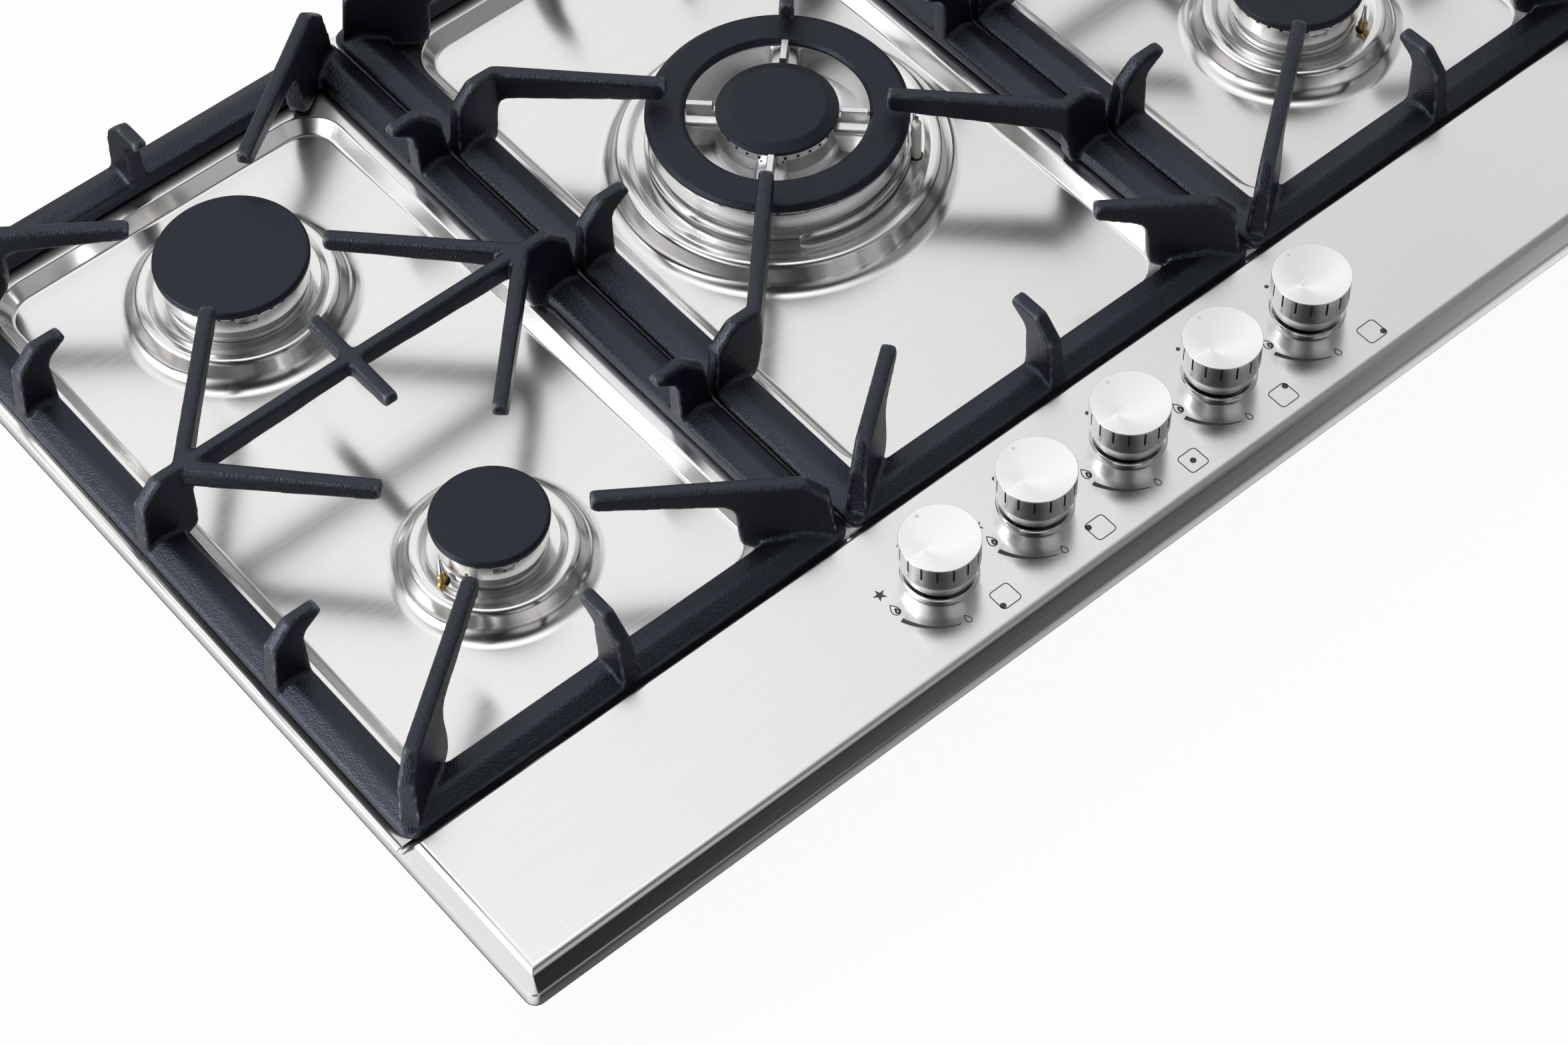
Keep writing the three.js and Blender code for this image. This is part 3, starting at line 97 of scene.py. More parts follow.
class Skin:
    """Corners and faces of one surface, in millimetres above the worktop plane."""

    def __init__(self) -> None:
        """Starts with no corners."""
        self.corners: list[tuple[float, float, float]] = []
        self.faces: list[tuple[int, ...]] = []
        self._seen: dict[tuple[float, float, float], int] = {}

    def corner(self, x: float, y: float, z: float) -> int:
        """Gives the index of the corner at a place, and makes it if it is new.

        Args:
            x, y, z: the place in millimetres.

        Returns:
            The corner's index.
        """
        key = (round(x, 3), round(y, 3), round(z, 3))
        if key not in self._seen:
            self._seen[key] = len(self.corners)
            self.corners.append((x, y, z))
        return self._seen[key]

    def ring(self, points: Sequence[Plan], z: float) -> list[int]:
        """Makes a level row of corners."""
        return [self.corner(x, y, z) for x, y in points]

    def face(self, corners: Sequence[int]) -> None:
        """Adds one face, and leaves out corners that fell together."""
        kept = [c for i, c in enumerate(corners) if c != corners[i - 1]]
        if len(set(kept)) > 2:
            self.faces.append(tuple(kept))

    def strip(self, low: Sequence[int], high: Sequence[int], closed: bool = True) -> None:
        """Joins two rows with four-sided faces.

        Args:
            low: the first row.
            high: the second row; a row of one corner is a pole.
            closed: whether the rows run all the way round.
        """
        if len(low) == 1 or len(high) == 1:
            long, pole = (high, low[0]) if len(low) == 1 else (low, high[0])
            for i in range(len(long) if closed else len(long) - 1):
                self.face((long[i], long[(i + 1) % len(long)], pole))
            return
        for i in range(len(low) if closed else len(low) - 1):
            j = (i + 1) % len(low)
            self.face((low[i], low[j], high[j], high[i]))

    def rows(self, rows: Sequence[Sequence[int]], closed: bool = True, looped: bool = False) -> None:
        """Joins a stack of rows, and the last to the first where it is looped."""
        for low, high in zip(rows, rows[1:]):
            self.strip(low, high, closed)
        if looped:
            self.strip(rows[-1], rows[0], closed)

    def capped(self, rows: Sequence[Sequence[int]]) -> None:
        """Joins a stack of rows and closes both of its ends."""
        self.rows(rows)
        self.face(rows[0])
        self.face(rows[-1])

    def fill(self, outer: Sequence[int], holes: Sequence[Sequence[int]] = ()) -> None:
        """Fills a level outline, and keeps its holes open.

        Args:
            outer: the outline's corners in order.
            holes: the outlines of the holes.
        """
        loops = [list(outer), *[list(hole) for hole in holes]]
        ids = [corner for loop in loops for corner in loop]
        flat = [Vector(self.corners[corner][:2]) for corner in ids]
        edges, start = [], 0
        for loop in loops:
            count = len(loop)
            edges += [(start + i, start + (i + 1) % count) for i in range(count)]
            start += count
        made = delaunay_2d_cdt(flat, edges, [], 1, 1e-6)
        source = [ids[origin[0]] for origin in made[3]]
        inside = [[Vector(self.corners[corner][:2]) for corner in loop] for loop in loops[1:]]
        for corners in made[2]:
            middle = sum((made[0][c] for c in corners), Vector((0.0, 0.0))) / len(corners)
            if not any(within(middle, loop) for loop in inside):
                self.face([source[c] for c in corners])

    def turned(
        self,
        profile: Profile,
        centre: Plan = (0.0, 0.0),
        segments: int = 96,
        looped: bool = False,
        relief: Relief | None = None,
        angles: Sequence[float] | None = None,
    ) -> list[list[int]]:
        """Revolves a profile of (radius, height) about an upright axis.

        Args:
            profile: the section's points.
            centre: the axis in plan.
            segments: faces round the axis.
            looped: whether the section closes on itself.
            relief: how far a point at (angle, height) is drawn in.
            angles: the angles to use in place of even ones.

        Returns:
            The rows of corners, one for each point of the profile.
        """
        turns = list(angles) if angles is not None else [FULL_TURN * i / segments for i in range(segments)]
        rows = []
        for radius, z in profile:
            if radius < 1e-6:
                rows.append([self.corner(centre[0], centre[1], z)])
                continue
            row = []
            for turn in turns:
                reach = radius - (relief(turn, z) if relief else 0.0)
                row.append(
                    self.corner(centre[0] + reach * math.cos(turn), centre[1] + reach * math.sin(turn), z)
                )
            rows.append(row)
        self.rows(rows, looped=looped)
        return rows

    def bar(self, start: Sequence[float], end: Sequence[float], radius: float, sides: int = 16) -> None:
        """Adds a round bar with flat ends between two points."""
        a, b = Vector(start), Vector(end)
        along = (b - a).normalized()
        side = along.orthogonal().normalized()
        up = along.cross(side)
        rows = []
        for point in (a, b):
            rows.append([
                self.corner(*(point + radius * (math.cos(t) * side + math.sin(t) * up)))
                for t in (FULL_TURN * i / sides for i in range(sides))
            ])
        self.capped(rows)

    def mesh(self, name: str, shell: bool = False) -> Mesh:
        """Turns the surface into a mesh in metres, with its faces outwards.

        Args:
            name: the mesh's name.
            shell: whether it is an open sheet that faces up.

        Returns:
            The mesh, smooth apart from its real edges.
        """
        mesh = bpy.data.meshes.new(name)
        mesh.from_pydata(
            [(x / 1000, y / 1000, (z + WORKTOP) / 1000) for x, y, z in self.corners], [], self.faces
        )
        build = bmesh.new()
        build.from_mesh(mesh)
        bmesh.ops.recalc_face_normals(build, faces=build.faces)
        if shell and sum(face.normal.z * face.calc_area() for face in build.faces) < 0:
            bmesh.ops.reverse_faces(build, faces=build.faces)
        build.to_mesh(mesh)
        build.free()
        mesh.validate()
        mesh.shade_smooth()
        mesh.set_sharp_from_angle(angle=SMOOTH_ANGLE)
        return mesh


def rounded(path: Path, steps: int = 4, closed: bool = False) -> Profile:
    """Rounds the corners of a section and keeps its flats flat.

    Args:
        path: corners as (across, up, radius).
        steps: faces in each rounding.
        closed: whether the section runs on from its last corner to its first.

    Returns:
        The section's points, with a support point on each side of a rounding.
    """
    points: Profile = []
    count = len(path)
    for i, (across, up, radius) in enumerate(path):
        here = Vector((across, up))
        if radius <= 0 or (not closed and i in (0, count - 1)):
            points.append((across, up))
            continue
        before = Vector(path[i - 1][:2]) - here
        after = Vector(path[(i + 1) % count][:2]) - here
        a, b = before.normalized(), after.normalized()
        half = math.acos(max(-1.0, min(1.0, a.dot(b)))) / 2
        room = [0.46 if closed or 0 < j < count - 1 else 0.96 for j in (i - 1, i + 1)]
        reach = min(radius / math.tan(half), room[0] * before.length, room[1] * after.length)
        true = reach * math.tan(half)
        centre = here + (a + b).normalized() * (true / math.sin(half))
        first, last = here + a * reach - centre, here + b * reach - centre
        sweep = first.angle_signed(last)
        support = min(0.25, 0.03 * before.length, 0.03 * after.length)
        points.append(tuple(here + a * (reach + support)))
        for k in range(steps + 1):
            turn = -sweep * k / steps
            spin = Matrix.Rotation(turn, 2)
            points.append(tuple(centre + spin @ first))
        points.append(tuple(here + b * (reach + support)))
    return points


def lathe(path: Path, centre: Plan, segments: int, steps: int, closed: bool = False) -> Skin:
    """Rounds a section's corners and turns it about an upright axis.

    Args:
        path: corners as (across, up, radius).
        centre: the axis in plan.
        segments: faces round the axis.
        steps: faces in each rounding.
        closed: whether the section closes on itself.

    Returns:
        The turned surface.
    """
    skin = Skin()
    skin.turned(rounded(path, steps, closed), centre, segments, looped=closed)
    return skin


def outline(box: Sequence[float], radius: float, steps: int = 6) -> list[Plan]:
    """Points of a rectangle with rounded corners, counter-clockwise from the rear right.

    Args:
        box: (x0, x1, y0, y1).
        radius: the corners' radius.
        steps: faces in each corner.

    Returns:
        The points, the same number for every box.
    """
    x0, x1, y0, y1 = box
    r = max(0.3, radius)
    centres = [(x1 - r, y1 - r), (x0 + r, y1 - r), (x0 + r, y0 + r), (x1 - r, y0 + r)]
    points = []
    for quarter, (cx, cy) in enumerate(centres):
        for i in range(steps + 1):
            turn = (quarter + i / steps) * math.pi / 2
            points.append((cx + r * math.cos(turn), cy + r * math.sin(turn)))
    return points


def circle_angles(count: int, pockets: Sequence[tuple[float, float]] = ()) -> list[float]:
    """Even angles with extra ones at both sides of each pocket.

    Args:
        count: how many even angles.
        pockets: each pocket's middle and half width, in radians.

    Returns:
        The sorted angles.
    """
    angles = [FULL_TURN * i / count for i in range(count)]
    for middle, half in pockets:
        angles = [a for a in angles if abs((a - middle + math.pi) % FULL_TURN - math.pi) > half * 1.25]
        angles += [
            (middle + side * half + nudge) % FULL_TURN for side in (-1, 1) for nudge in (-0.004, 0.004)
        ]
        angles += [(middle + half * share) % FULL_TURN for share in (-0.5, 0.0, 0.5)]
    return sorted(angles)


class Lay(Enum):
    """How the grain of a finish lies on a piece."""

    STRAIGHT = "straight"
    ROUND = "round"


def lay_grain(mesh: Mesh, lay: Lay, centre: Plan = (0.0, 0.0)) -> None:
    """Writes the map that brushed finishes follow: its first direction runs across the grain.

    Args:
        mesh: the mesh, in metres.
        lay: straight along X, or round an upright axis.
        centre: that axis, in millimetres.
    """
    layer = mesh.uv_layers.new(name="grain")
    count = len(mesh.loops)
    corners = np.zeros(count, dtype=np.int32)
    mesh.loops.foreach_get("vertex_index", corners)
    places = np.zeros(len(mesh.vertices) * 3)
    mesh.vertices.foreach_get("co", places)
    x, y, z = places.reshape(-1, 3)[corners].T
    owners = np.zeros(len(mesh.polygons), dtype=np.int32)
    mesh.polygons.foreach_get("loop_total", owners)
    normals = np.zeros(len(mesh.polygons) * 3)
    mesh.polygons.foreach_get("normal", normals)
    nx, ny, nz = np.repeat(normals.reshape(-1, 3), owners, axis=0).T
    if lay is Lay.STRAIGHT:
        slope = np.where(ny * nz > 1e-4, -1.0, 1.0)
        grain = np.stack([y + slope * z, x + 0.13 * z], axis=1)
    else:
        dx, dy = x - centre[0] / 1000, y - centre[1] / 1000
        slope = np.where((nx * dx + ny * dy) * nz > 1e-7, -1.0, 1.0)
        grain = np.stack([np.hypot(dx, dy) + slope * z, 0.02 * np.arctan2(dy, dx)], axis=1)
    layer.data.foreach_set("uv", (grain * 10).astype(np.float32).ravel())


def mark_edges(mesh: Mesh) -> None:
    """Stores how sharply each corner stands out, for the wear and painted highlight of cast edges."""
    count = len(mesh.vertices)
    places = np.zeros(count * 3)
    normals = np.zeros(count * 3)
    mesh.vertices.foreach_get("co", places)
    mesh.vertices.foreach_get("normal", normals)
    edges = np.zeros(len(mesh.edges) * 2, dtype=np.int32)
    mesh.edges.foreach_get("vertices", edges)
    places, normals, edges = places.reshape(-1, 3), normals.reshape(-1, 3), edges.reshape(-1, 2)
    a, b = edges.T
    step = places[b] - places[a]
    length = np.maximum(np.linalg.norm(step, axis=1), 1e-6)
    bend = ((normals[b] - normals[a]) * step).sum(axis=1) / length ** 2
    sharp, near = np.zeros(count), np.zeros(count)
    for end in (a, b):
        np.add.at(sharp, end, bend)
        np.add.at(near, end, 1.0)
    sharp /= np.maximum(near, 1)
    for _ in range(2):
        soft = np.zeros(count)
        np.add.at(soft, a, sharp[b])
        np.add.at(soft, b, sharp[a])
        sharp = 0.5 * sharp + 0.5 * soft / np.maximum(near, 1)
    layer = mesh.attributes.new("edge", "FLOAT", "POINT")
    layer.data.foreach_set("value", np.clip(sharp / 600.0, 0.0, 1.0).astype(np.float32))


# ------------------------------------------------------------------ finishes


class Wiring:
    """Adds nodes to one tree and joins them."""

    def __init__(self, tree: bpy.types.NodeTree) -> None:
        """Keeps the tree."""
        self.tree = tree

    def node(self, kind: str, inputs: dict[str | int, object] | None = None, **settings: object) -> Node:
        """Adds a node.

        Args:
            kind: the node's type.
            inputs: values or source sockets by input name or number.
            settings: the node's own settings.

        Returns:
            The node.
        """
        made = self.tree.nodes.new(kind)
        for name, value in settings.items():
            setattr(made, name, value)
        for name, value in (inputs or {}).items():
            if isinstance(value, Socket):
                self.tree.links.new(value, made.inputs[name])
            else:
                made.inputs[name].default_value = value
        return made

    def out(self, kind: str, inputs: dict[str | int, object] | None = None, **settings: object) -> Socket:
        """Adds a node and gives its first output."""
        return self.node(kind, inputs, **settings).outputs[0]

    def mix(self, factor: object, first: object, second: object) -> Socket:
        """Mixes two colours by a factor between 0 and 1."""
        made = self.node("ShaderNodeMix", {0: factor, 6: first, 7: second}, data_type="RGBA")
        return made.outputs[2]

    def ranged(self, value: object, low: float, high: float, to_low: float, to_high: float) -> Socket:
        """Maps a value from one range to another, held at its ends."""
        made = self.node("ShaderNodeMapRange", {0: value, 1: low, 2: high, 3: to_low, 4: to_high})
        return made.outputs[0]

    def math(self, operation: str, *values: object) -> Socket:
        """Adds a Math node over one or two values."""
        return self.out("ShaderNodeMath", dict(enumerate(values)), operation=operation)


def new_group(label: str, kind: str, inlets: Sequence[Inlet]) -> bpy.types.NodeTree:
    """Opens a node group with named inputs.

    Args:
        label: the group's name.
        kind: the type of its tree.
        inlets: each input's name, socket type and default.

    Returns:
        The group's tree, still empty.
    """
    tree = bpy.data.node_groups.new(label, kind)
    for name, socket_type, value in inlets:
        socket = tree.interface.new_socket(name, in_out="INPUT", socket_type=socket_type)
        if value is not None:
            socket.default_value = value
    return tree


class EffectGroup:
    """A shader node group that several finishes use, built once."""

    label = "effect"
    inlets: tuple[Inlet, ...] = ()
    outlets: tuple[str, ...] = ()

    @classmethod
    def tree(cls) -> bpy.types.NodeTree:
        """Gives the group's tree, and builds it the first time."""
        known = bpy.data.node_groups.get(cls.label)
        if known:
            return known
        tree = new_group(cls.label, "ShaderNodeTree", cls.inlets)
        for name in cls.outlets:
            tree.interface.new_socket(name, in_out="OUTPUT", socket_type="NodeSocketFloat")
        wires = Wiring(tree)
        cls.wire(wires, wires.node("NodeGroupInput").outputs, wires.node("NodeGroupOutput").inputs)
        return tree

    @classmethod
    def wire(cls, wires: Wiring, given: Outlets, made: Inlets) -> None:
        """Builds the inside of the group; each effect has its own."""
        raise NotImplementedError

    @classmethod
    def place(cls, wires: Wiring, **values: object) -> Node:
        """Places the group in a finish with that finish's own values."""
        made = wires.node("ShaderNodeGroup", node_tree=cls.tree())
        for name, value in values.items():
            socket = made.inputs[name.replace("_", " ")]
            if isinstance(value, Socket):
                wires.tree.links.new(value, socket)
            else:
                socket.default_value = value
        return made


class Grain(EffectGroup):
    """Fine streaks along one direction, with broader bands among them."""

    label = "grain streaks"
    inlets = (
        ("Vector", "NodeSocketVector", None),
        ("Along", "NodeSocketFloat", 10.0),
        ("Across", "NodeSocketFloat", 1500.0),
    )
    outlets = ("Fine", "Broad")

    @classmethod
    def wire(cls, wires: Wiring, given: Outlets, made: Inlets) -> None:
        """Stretches two noises along the grain."""
        for share, outlet, detail in ((1.0, "Fine", 2.0), (0.12, "Broad", 1.0)):
            across = wires.math("MULTIPLY", given["Across"], share)
            scale = wires.out("ShaderNodeCombineXYZ", {0: given["Along"], 1: across, 2: across})
            place = wires.out("ShaderNodeVectorMath", {0: given["Vector"], 1: scale}, operation="MULTIPLY")
            noise = wires.node("ShaderNodeTexNoise", {"Vector": place, "Scale": 1.0, "Detail": detail})
            wires.tree.links.new(noise.outputs[0], made[outlet])


class Grit(EffectGroup):
    """Pebbly height, pale specks and soft blotches, as on enamel and castings."""

    label = "grit"
    inlets = (
        ("Vector", "NodeSocketVector", None),
        ("Size", "NodeSocketFloat", 900.0),
        ("Speck Size", "NodeSocketFloat", 1300.0),
        ("Speck Share", "NodeSocketFloat", 0.7),
    )
    outlets = ("Height", "Specks", "Blotches")

    @classmethod
    def wire(cls, wires: Wiring, given: Outlets, made: Inlets) -> None:
        """Wires three noises of different size."""
        link = wires.tree.links.new
        fine = wires.node(
            "ShaderNodeTexNoise", {"Vector": given["Vector"], "Scale": given["Size"], "Detail": 3.0},
        )
        link(fine.outputs[0], made["Height"])
        speck = wires.node(
            "ShaderNodeTexNoise", {"Vector": given["Vector"], "Scale": given["Speck Size"], "Detail": 1.0},
        )
        top = wires.math("ADD", given["Speck Share"], 0.06)
        mask = wires.node(
            "ShaderNodeMapRange", {0: speck.outputs[0], 1: given["Speck Share"], 2: top, 3: 0.0, 4: 1.0},
        )
        link(mask.outputs[0], made["Specks"])
        broad = wires.node("ShaderNodeTexNoise", {"Vector": given["Vector"], "Scale": 28.0, "Detail": 3.0})
        link(broad.outputs[0], made["Blotches"])


class EdgeWearAndHighlight(EffectGroup):
    """Where standing edges are made bright: partly edge wear, partly a painted highlight."""

    label = "edge wear and painted highlight"
    inlets = (
        ("Vector", "NodeSocketVector", None),
        ("Edge", "NodeSocketFloat", 0.0),
        ("Amount", "NodeSocketFloat", 0.8),
    )
    outlets = ("Mask",)

    @classmethod
    def wire(cls, wires: Wiring, given: Outlets, made: Inlets) -> None:
        """Breaks the edge mask up with noise."""
        noise = wires.node("ShaderNodeTexNoise", {"Vector": given["Vector"], "Scale": 260.0, "Detail": 3.0})
        broken = wires.ranged(noise.outputs[0], 0.35, 0.65, 0.15, 1.0)
        edge = wires.ranged(given["Edge"], 0.25, 0.8, 0.0, 1.0)
        mask = wires.math("MULTIPLY", wires.math("MULTIPLY", edge, broken), given["Amount"])
        wires.tree.links.new(mask, made["Mask"])


Colour = tuple[float, float, float]


def rgba(colour: Colour) -> tuple[float, float, float, float]:
    """Adds full opacity to a colour."""
    return (*colour, 1.0)


@dataclass(frozen=True)
class Finish:
    """What every finish has: a name, a colour, a roughness and how metallic it is."""

    name: str
    colour: Colour
    roughness: float = 0.4
    metallic: float = 0.0

    def material(self) -> bpy.types.Material:
        """Gives the finish's material, and builds it the first time."""
        known = bpy.data.materials.get(self.name)
        if known:
            return known
        made = bpy.data.materials.new(self.name)
        made.use_nodes = True
        made.diffuse_color = rgba(self.colour)
        wires = Wiring(made.node_tree)
        shader = made.node_tree.nodes["Principled BSDF"]
        shader.inputs["Base Color"].default_value = rgba(self.colour)
        shader.inputs["Roughness"].default_value = self.roughness
        shader.inputs["Metallic"].default_value = self.metallic
        place = wires.node("ShaderNodeTexCoord").outputs["Object"]
        self.wire(wires, shader, place)
        return made

    def wire(self, wires: Wiring, shader: Node, place: Socket) -> None:
        """Adds what the finish shows over its plain colour."""
        raise NotImplementedError

    def height(
        self, wires: Wiring, shader: Node, value: Socket, strength: float, depth: float,
    ) -> None:
        """Feeds a height into the shader's normal.

        Args:
            wires: the material's wiring.
            shader: the shader node.
            value: the height.
            strength: how strongly it shows.
            depth: its depth in millimetres.
        """
        bump = wires.node("ShaderNodeBump", {"Strength": strength, "Distance": depth / 1000, "Height": value})
        wires.tree.links.new(bump.outputs[0], shader.inputs["Normal"])


@dataclass(frozen=True)
class Brushed(Finish):
    """Metal with a directed grain: brushed sheet, or turned and drawn pieces."""

    shade: Colour = (0.7, 0.7, 0.69)
    anisotropy: float = 0.7
    spread: float = 0.07
    along: float = 10.0
    across: float = 1500.0
    follows_map: bool = False

    def wire(self, wires: Wiring, shader: Node, place: Socket) -> None:
        """Streaks in colour and roughness, and a sheen across the grain."""
        link = wires.tree.links.new
        if self.follows_map:
            grain_map = wires.out("ShaderNodeUVMap", uv_map="grain")
            swap = wires.node("ShaderNodeSeparateXYZ", {0: grain_map}).outputs
            place = wires.out("ShaderNodeCombineXYZ", {0: swap[1], 1: swap[0]})
        grain = Grain.place(wires, Vector=place, Along=self.along, Across=self.across)
        fine = wires.ranged(grain.outputs["Fine"], 0.3, 0.7, 0.0, 1.0)
        link(wires.mix(fine, rgba(self.shade), rgba(self.colour)), shader.inputs["Base Color"])
        both = wires.math("ADD", fine, grain.outputs["Broad"])
        rough = wires.ranged(both, 0.3, 1.7, self.roughness - self.spread, self.roughness + self.spread)
        link(rough, shader.inputs["Roughness"])
        shader.inputs["Anisotropic"].default_value = self.anisotropy
        tangent = wires.node("ShaderNodeTangent", direction_type="UV_MAP", uv_map="grain")
        link(tangent.outputs[0], shader.inputs["Tangent"])


@dataclass(frozen=True)
class Gritty(Finish):
    """Pebbly enamel, cast iron or cast metal, with edges made bright where it has them: partly wear, partly a
    painted highlight.
    """

    pale: Colour = (0.05, 0.05, 0.055)
    wear_highlight_colour: Colour = (0.2, 0.2, 0.2)
    wear_and_highlight: float = 0.0
    size: float = 900.0
    depth: float = 0.25
    strength: float = 0.5
    speck_size: float = 1300.0
    speck_share: float = 0.7
    spread: float = 0.08
    shine: float = 0.5
    tint: Colour = (1.0, 1.0, 1.0)

    def wire(self, wires: Wiring, shader: Node, place: Socket) -> None:
        """Grit in height, specks and blotches in colour, and bright edges of wear and painted highlight."""
        link = wires.tree.links.new
        grit = Grit.place(
            wires, Vector=place, Size=self.size, Speck_Size=self.speck_size, Speck_Share=self.speck_share,
        )
        blotch = wires.ranged(grit.outputs["Blotches"], 0.35, 0.65, 0.0, 0.18)
        colour = wires.mix(blotch, rgba(self.colour), rgba(self.pale))
        colour = wires.mix(grit.outputs["Specks"], colour, rgba(self.pale))
        # Lighter colour on standing edges: partly edge wear, partly a painted highlight.
        if self.wear_and_highlight > 0:
            edge = wires.node("ShaderNodeAttribute", attribute_name="edge").outputs["Fac"]
            mask = EdgeWearAndHighlight.place(wires, Vector=place, Edge=edge, Amount=self.wear_and_highlight).outputs["Mask"]
            colour = wires.mix(mask, colour, rgba(self.wear_highlight_colour))
        link(colour, shader.inputs["Base Color"])
        rough = wires.ranged(
            grit.outputs["Blotches"], 0.3, 0.7, self.roughness - self.spread, self.roughness + self.spread,
        )
        link(rough, shader.inputs["Roughness"])
        shader.inputs["Specular IOR Level"].default_value = self.shine
        shader.inputs["Specular Tint"].default_value = rgba(self.tint)
        self.height(wires, shader, grit.outputs["Height"], self.strength, self.depth)


@dataclass(frozen=True)
class Plain(Finish):
    """A smooth material with faint uneven gloss and colour."""

    tone: float = 0.1
    spread: float = 0.06
    size: float = 90.0

    def wire(self, wires: Wiring, shader: Node, place: Socket) -> None:
        """Varies gloss and colour a little."""
        link = wires.tree.links.new
        noise = wires.out("ShaderNodeTexNoise", {"Vector": place, "Scale": self.size, "Detail": 4.0})
        dark = tuple(channel * (1 - self.tone) for channel in self.colour)
        link(wires.mix(noise, rgba(dark), rgba(self.colour)), shader.inputs["Base Color"])
        rough = wires.ranged(noise, 0.3, 0.7, self.roughness - self.spread, self.roughness + self.spread)
        link(rough, shader.inputs["Roughness"])


STEEL = Brushed(
    "brushed steel", (0.80, 0.786, 0.775), 0.2, 1.0, shade=(0.77, 0.757, 0.747), anisotropy=0.75,
    spread=0.015,
    along=14.0,
)
FACED = Brushed(
    "faced aluminium", (0.93, 0.93, 0.935), 0.25, 1.0, shade=(0.915, 0.915, 0.92), anisotropy=0.9,
    spread=0.006,
    along=3.0, across=1400.0, follows_map=True,
)
TURNED = Brushed(
    "turned aluminium", (0.84, 0.84, 0.85), 0.22, 1.0, shade=(0.80, 0.80, 0.81), anisotropy=0.6, spread=0.01,
    along=3.0, across=900.0, follows_map=True,
)
MACHINED = Brushed(
    "machined aluminium", (0.87, 0.87, 0.865), 0.24, 1.0, shade=(0.83, 0.83, 0.825), anisotropy=0.5,
    spread=0.012,
    along=2.0, across=900.0, follows_map=True,
)
IRON = Gritty(
    "enamelled cast iron", (0.0022, 0.0028, 0.0048), 0.35, 0.0, pale=(0.008, 0.009, 0.014),
    # the lighter edge colour is partly wear, partly a painted highlight along the edges
    wear_highlight_colour=(0.26, 0.27, 0.29),
    wear_and_highlight=1.0, size=1000.0, depth=0.45, strength=0.9, shine=0.7, tint=(0.72, 0.81, 1.0),
)
ENAMEL = Gritty(
    "black enamel", (0.0040, 0.0046, 0.0070), 0.44, 0.0, pale=(0.045, 0.047, 0.055),
    size=1150.0, depth=0.25, strength=0.6, speck_size=900.0, speck_share=0.74, shine=0.42,
    tint=(0.7, 0.8, 1.0),
)
CAST = Gritty(
    "cast aluminium", (0.74, 0.74, 0.735), 0.32, 1.0, pale=(0.9, 0.9, 0.9), size=700.0, depth=0.12,
    strength=0.3,
    speck_share=0.75,
)
BRASS = Plain("brass", (0.66, 0.45, 0.16), 0.25, 1.0, tone=0.25)
TUBE = Plain("drawn tube", (0.66, 0.66, 0.66), 0.32, 1.0, tone=0.15)
BRIGHT = Plain("bright steel", (0.82, 0.81, 0.8), 0.16, 1.0, tone=0.06)
ZINC = Gritty(
    "zinc coated sheet", (0.45, 0.46, 0.47), 0.48, 0.85, pale=(0.52, 0.53, 0.54), size=140.0, depth=0.05,
    strength=0.2,
    speck_size=240.0, speck_share=0.6,
)
FOAM = Gritty("foam strip", (0.022, 0.022, 0.022), 0.9, 0.0, pale=(0.05, 0.05, 0.05), size=1600.0, depth=0.3)
CERAMIC = Plain("white ceramic", (0.94, 0.935, 0.92), 0.35, 0.0, tone=0.05)
PLASTIC = Gritty(
    "moulded plastic", (0.045, 0.046, 0.05), 0.5, 0.0, pale=(0.07, 0.07, 0.075), size=2200.0, depth=0.06,
)
INK = Plain("printed marks", (0.055, 0.055, 0.06), 0.5, 0.0, tone=0.2)
# Painted shadow: a near-black finish for sheets, discs and studs that stand in for the shade inside holes,
# grooves and ports.
SHADOW = Plain("painted gap shadow", (0.012, 0.012, 0.013), 0.6, 0.0, tone=0.2)


def piece(
    name: str,
    shape: Skin | Mesh,
    finish: Finish,
    body: str,
    lay: Lay | None = None,
    centre: Plan = (0.0, 0.0),
    replaces: Sequence[str] = (),
) -> bpy.types.Object:
    """Makes one finished piece and lets it ride on its body.

    Args:
        name: the piece's name.
        shape: its surface, or its mesh in metres and in place.
        finish: what it is finished with.
        body: the body that carries it.
        lay: how its grain lies.
        centre: the axis of a round grain, in millimetres.
        replaces: the nodes that it stands for.

    Returns:
        The object.
    """
    mesh = shape.mesh(name) if isinstance(shape, Skin) else shape
    if lay is not None:
        lay_grain(mesh, lay, centre)
    made = bpy.data.objects.new(name, mesh)
    bpy.context.scene.collection.objects.link(made)
    mesh.materials.clear()
    mesh.materials.append(finish.material())
    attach(made, body)
    if replaces:
        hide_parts(*replaces)
    LOG.info("%s: %d faces, rides on %s", name, len(mesh.polygons), body)
    return made


def evaluated(made: bpy.types.Object) -> Mesh:
    """Takes the mesh that an object's modifiers give, and removes the object.

    Args:
        made: the object, with its modifiers.

    Returns:
        A plain mesh.
    """
    graph = bpy.context.evaluated_depsgraph_get()
    mesh = bpy.data.meshes.new_from_object(made.evaluated_get(graph))
    bpy.data.objects.remove(made)
    return mesh


# ------------------------------------------------------------------ repeated shapes


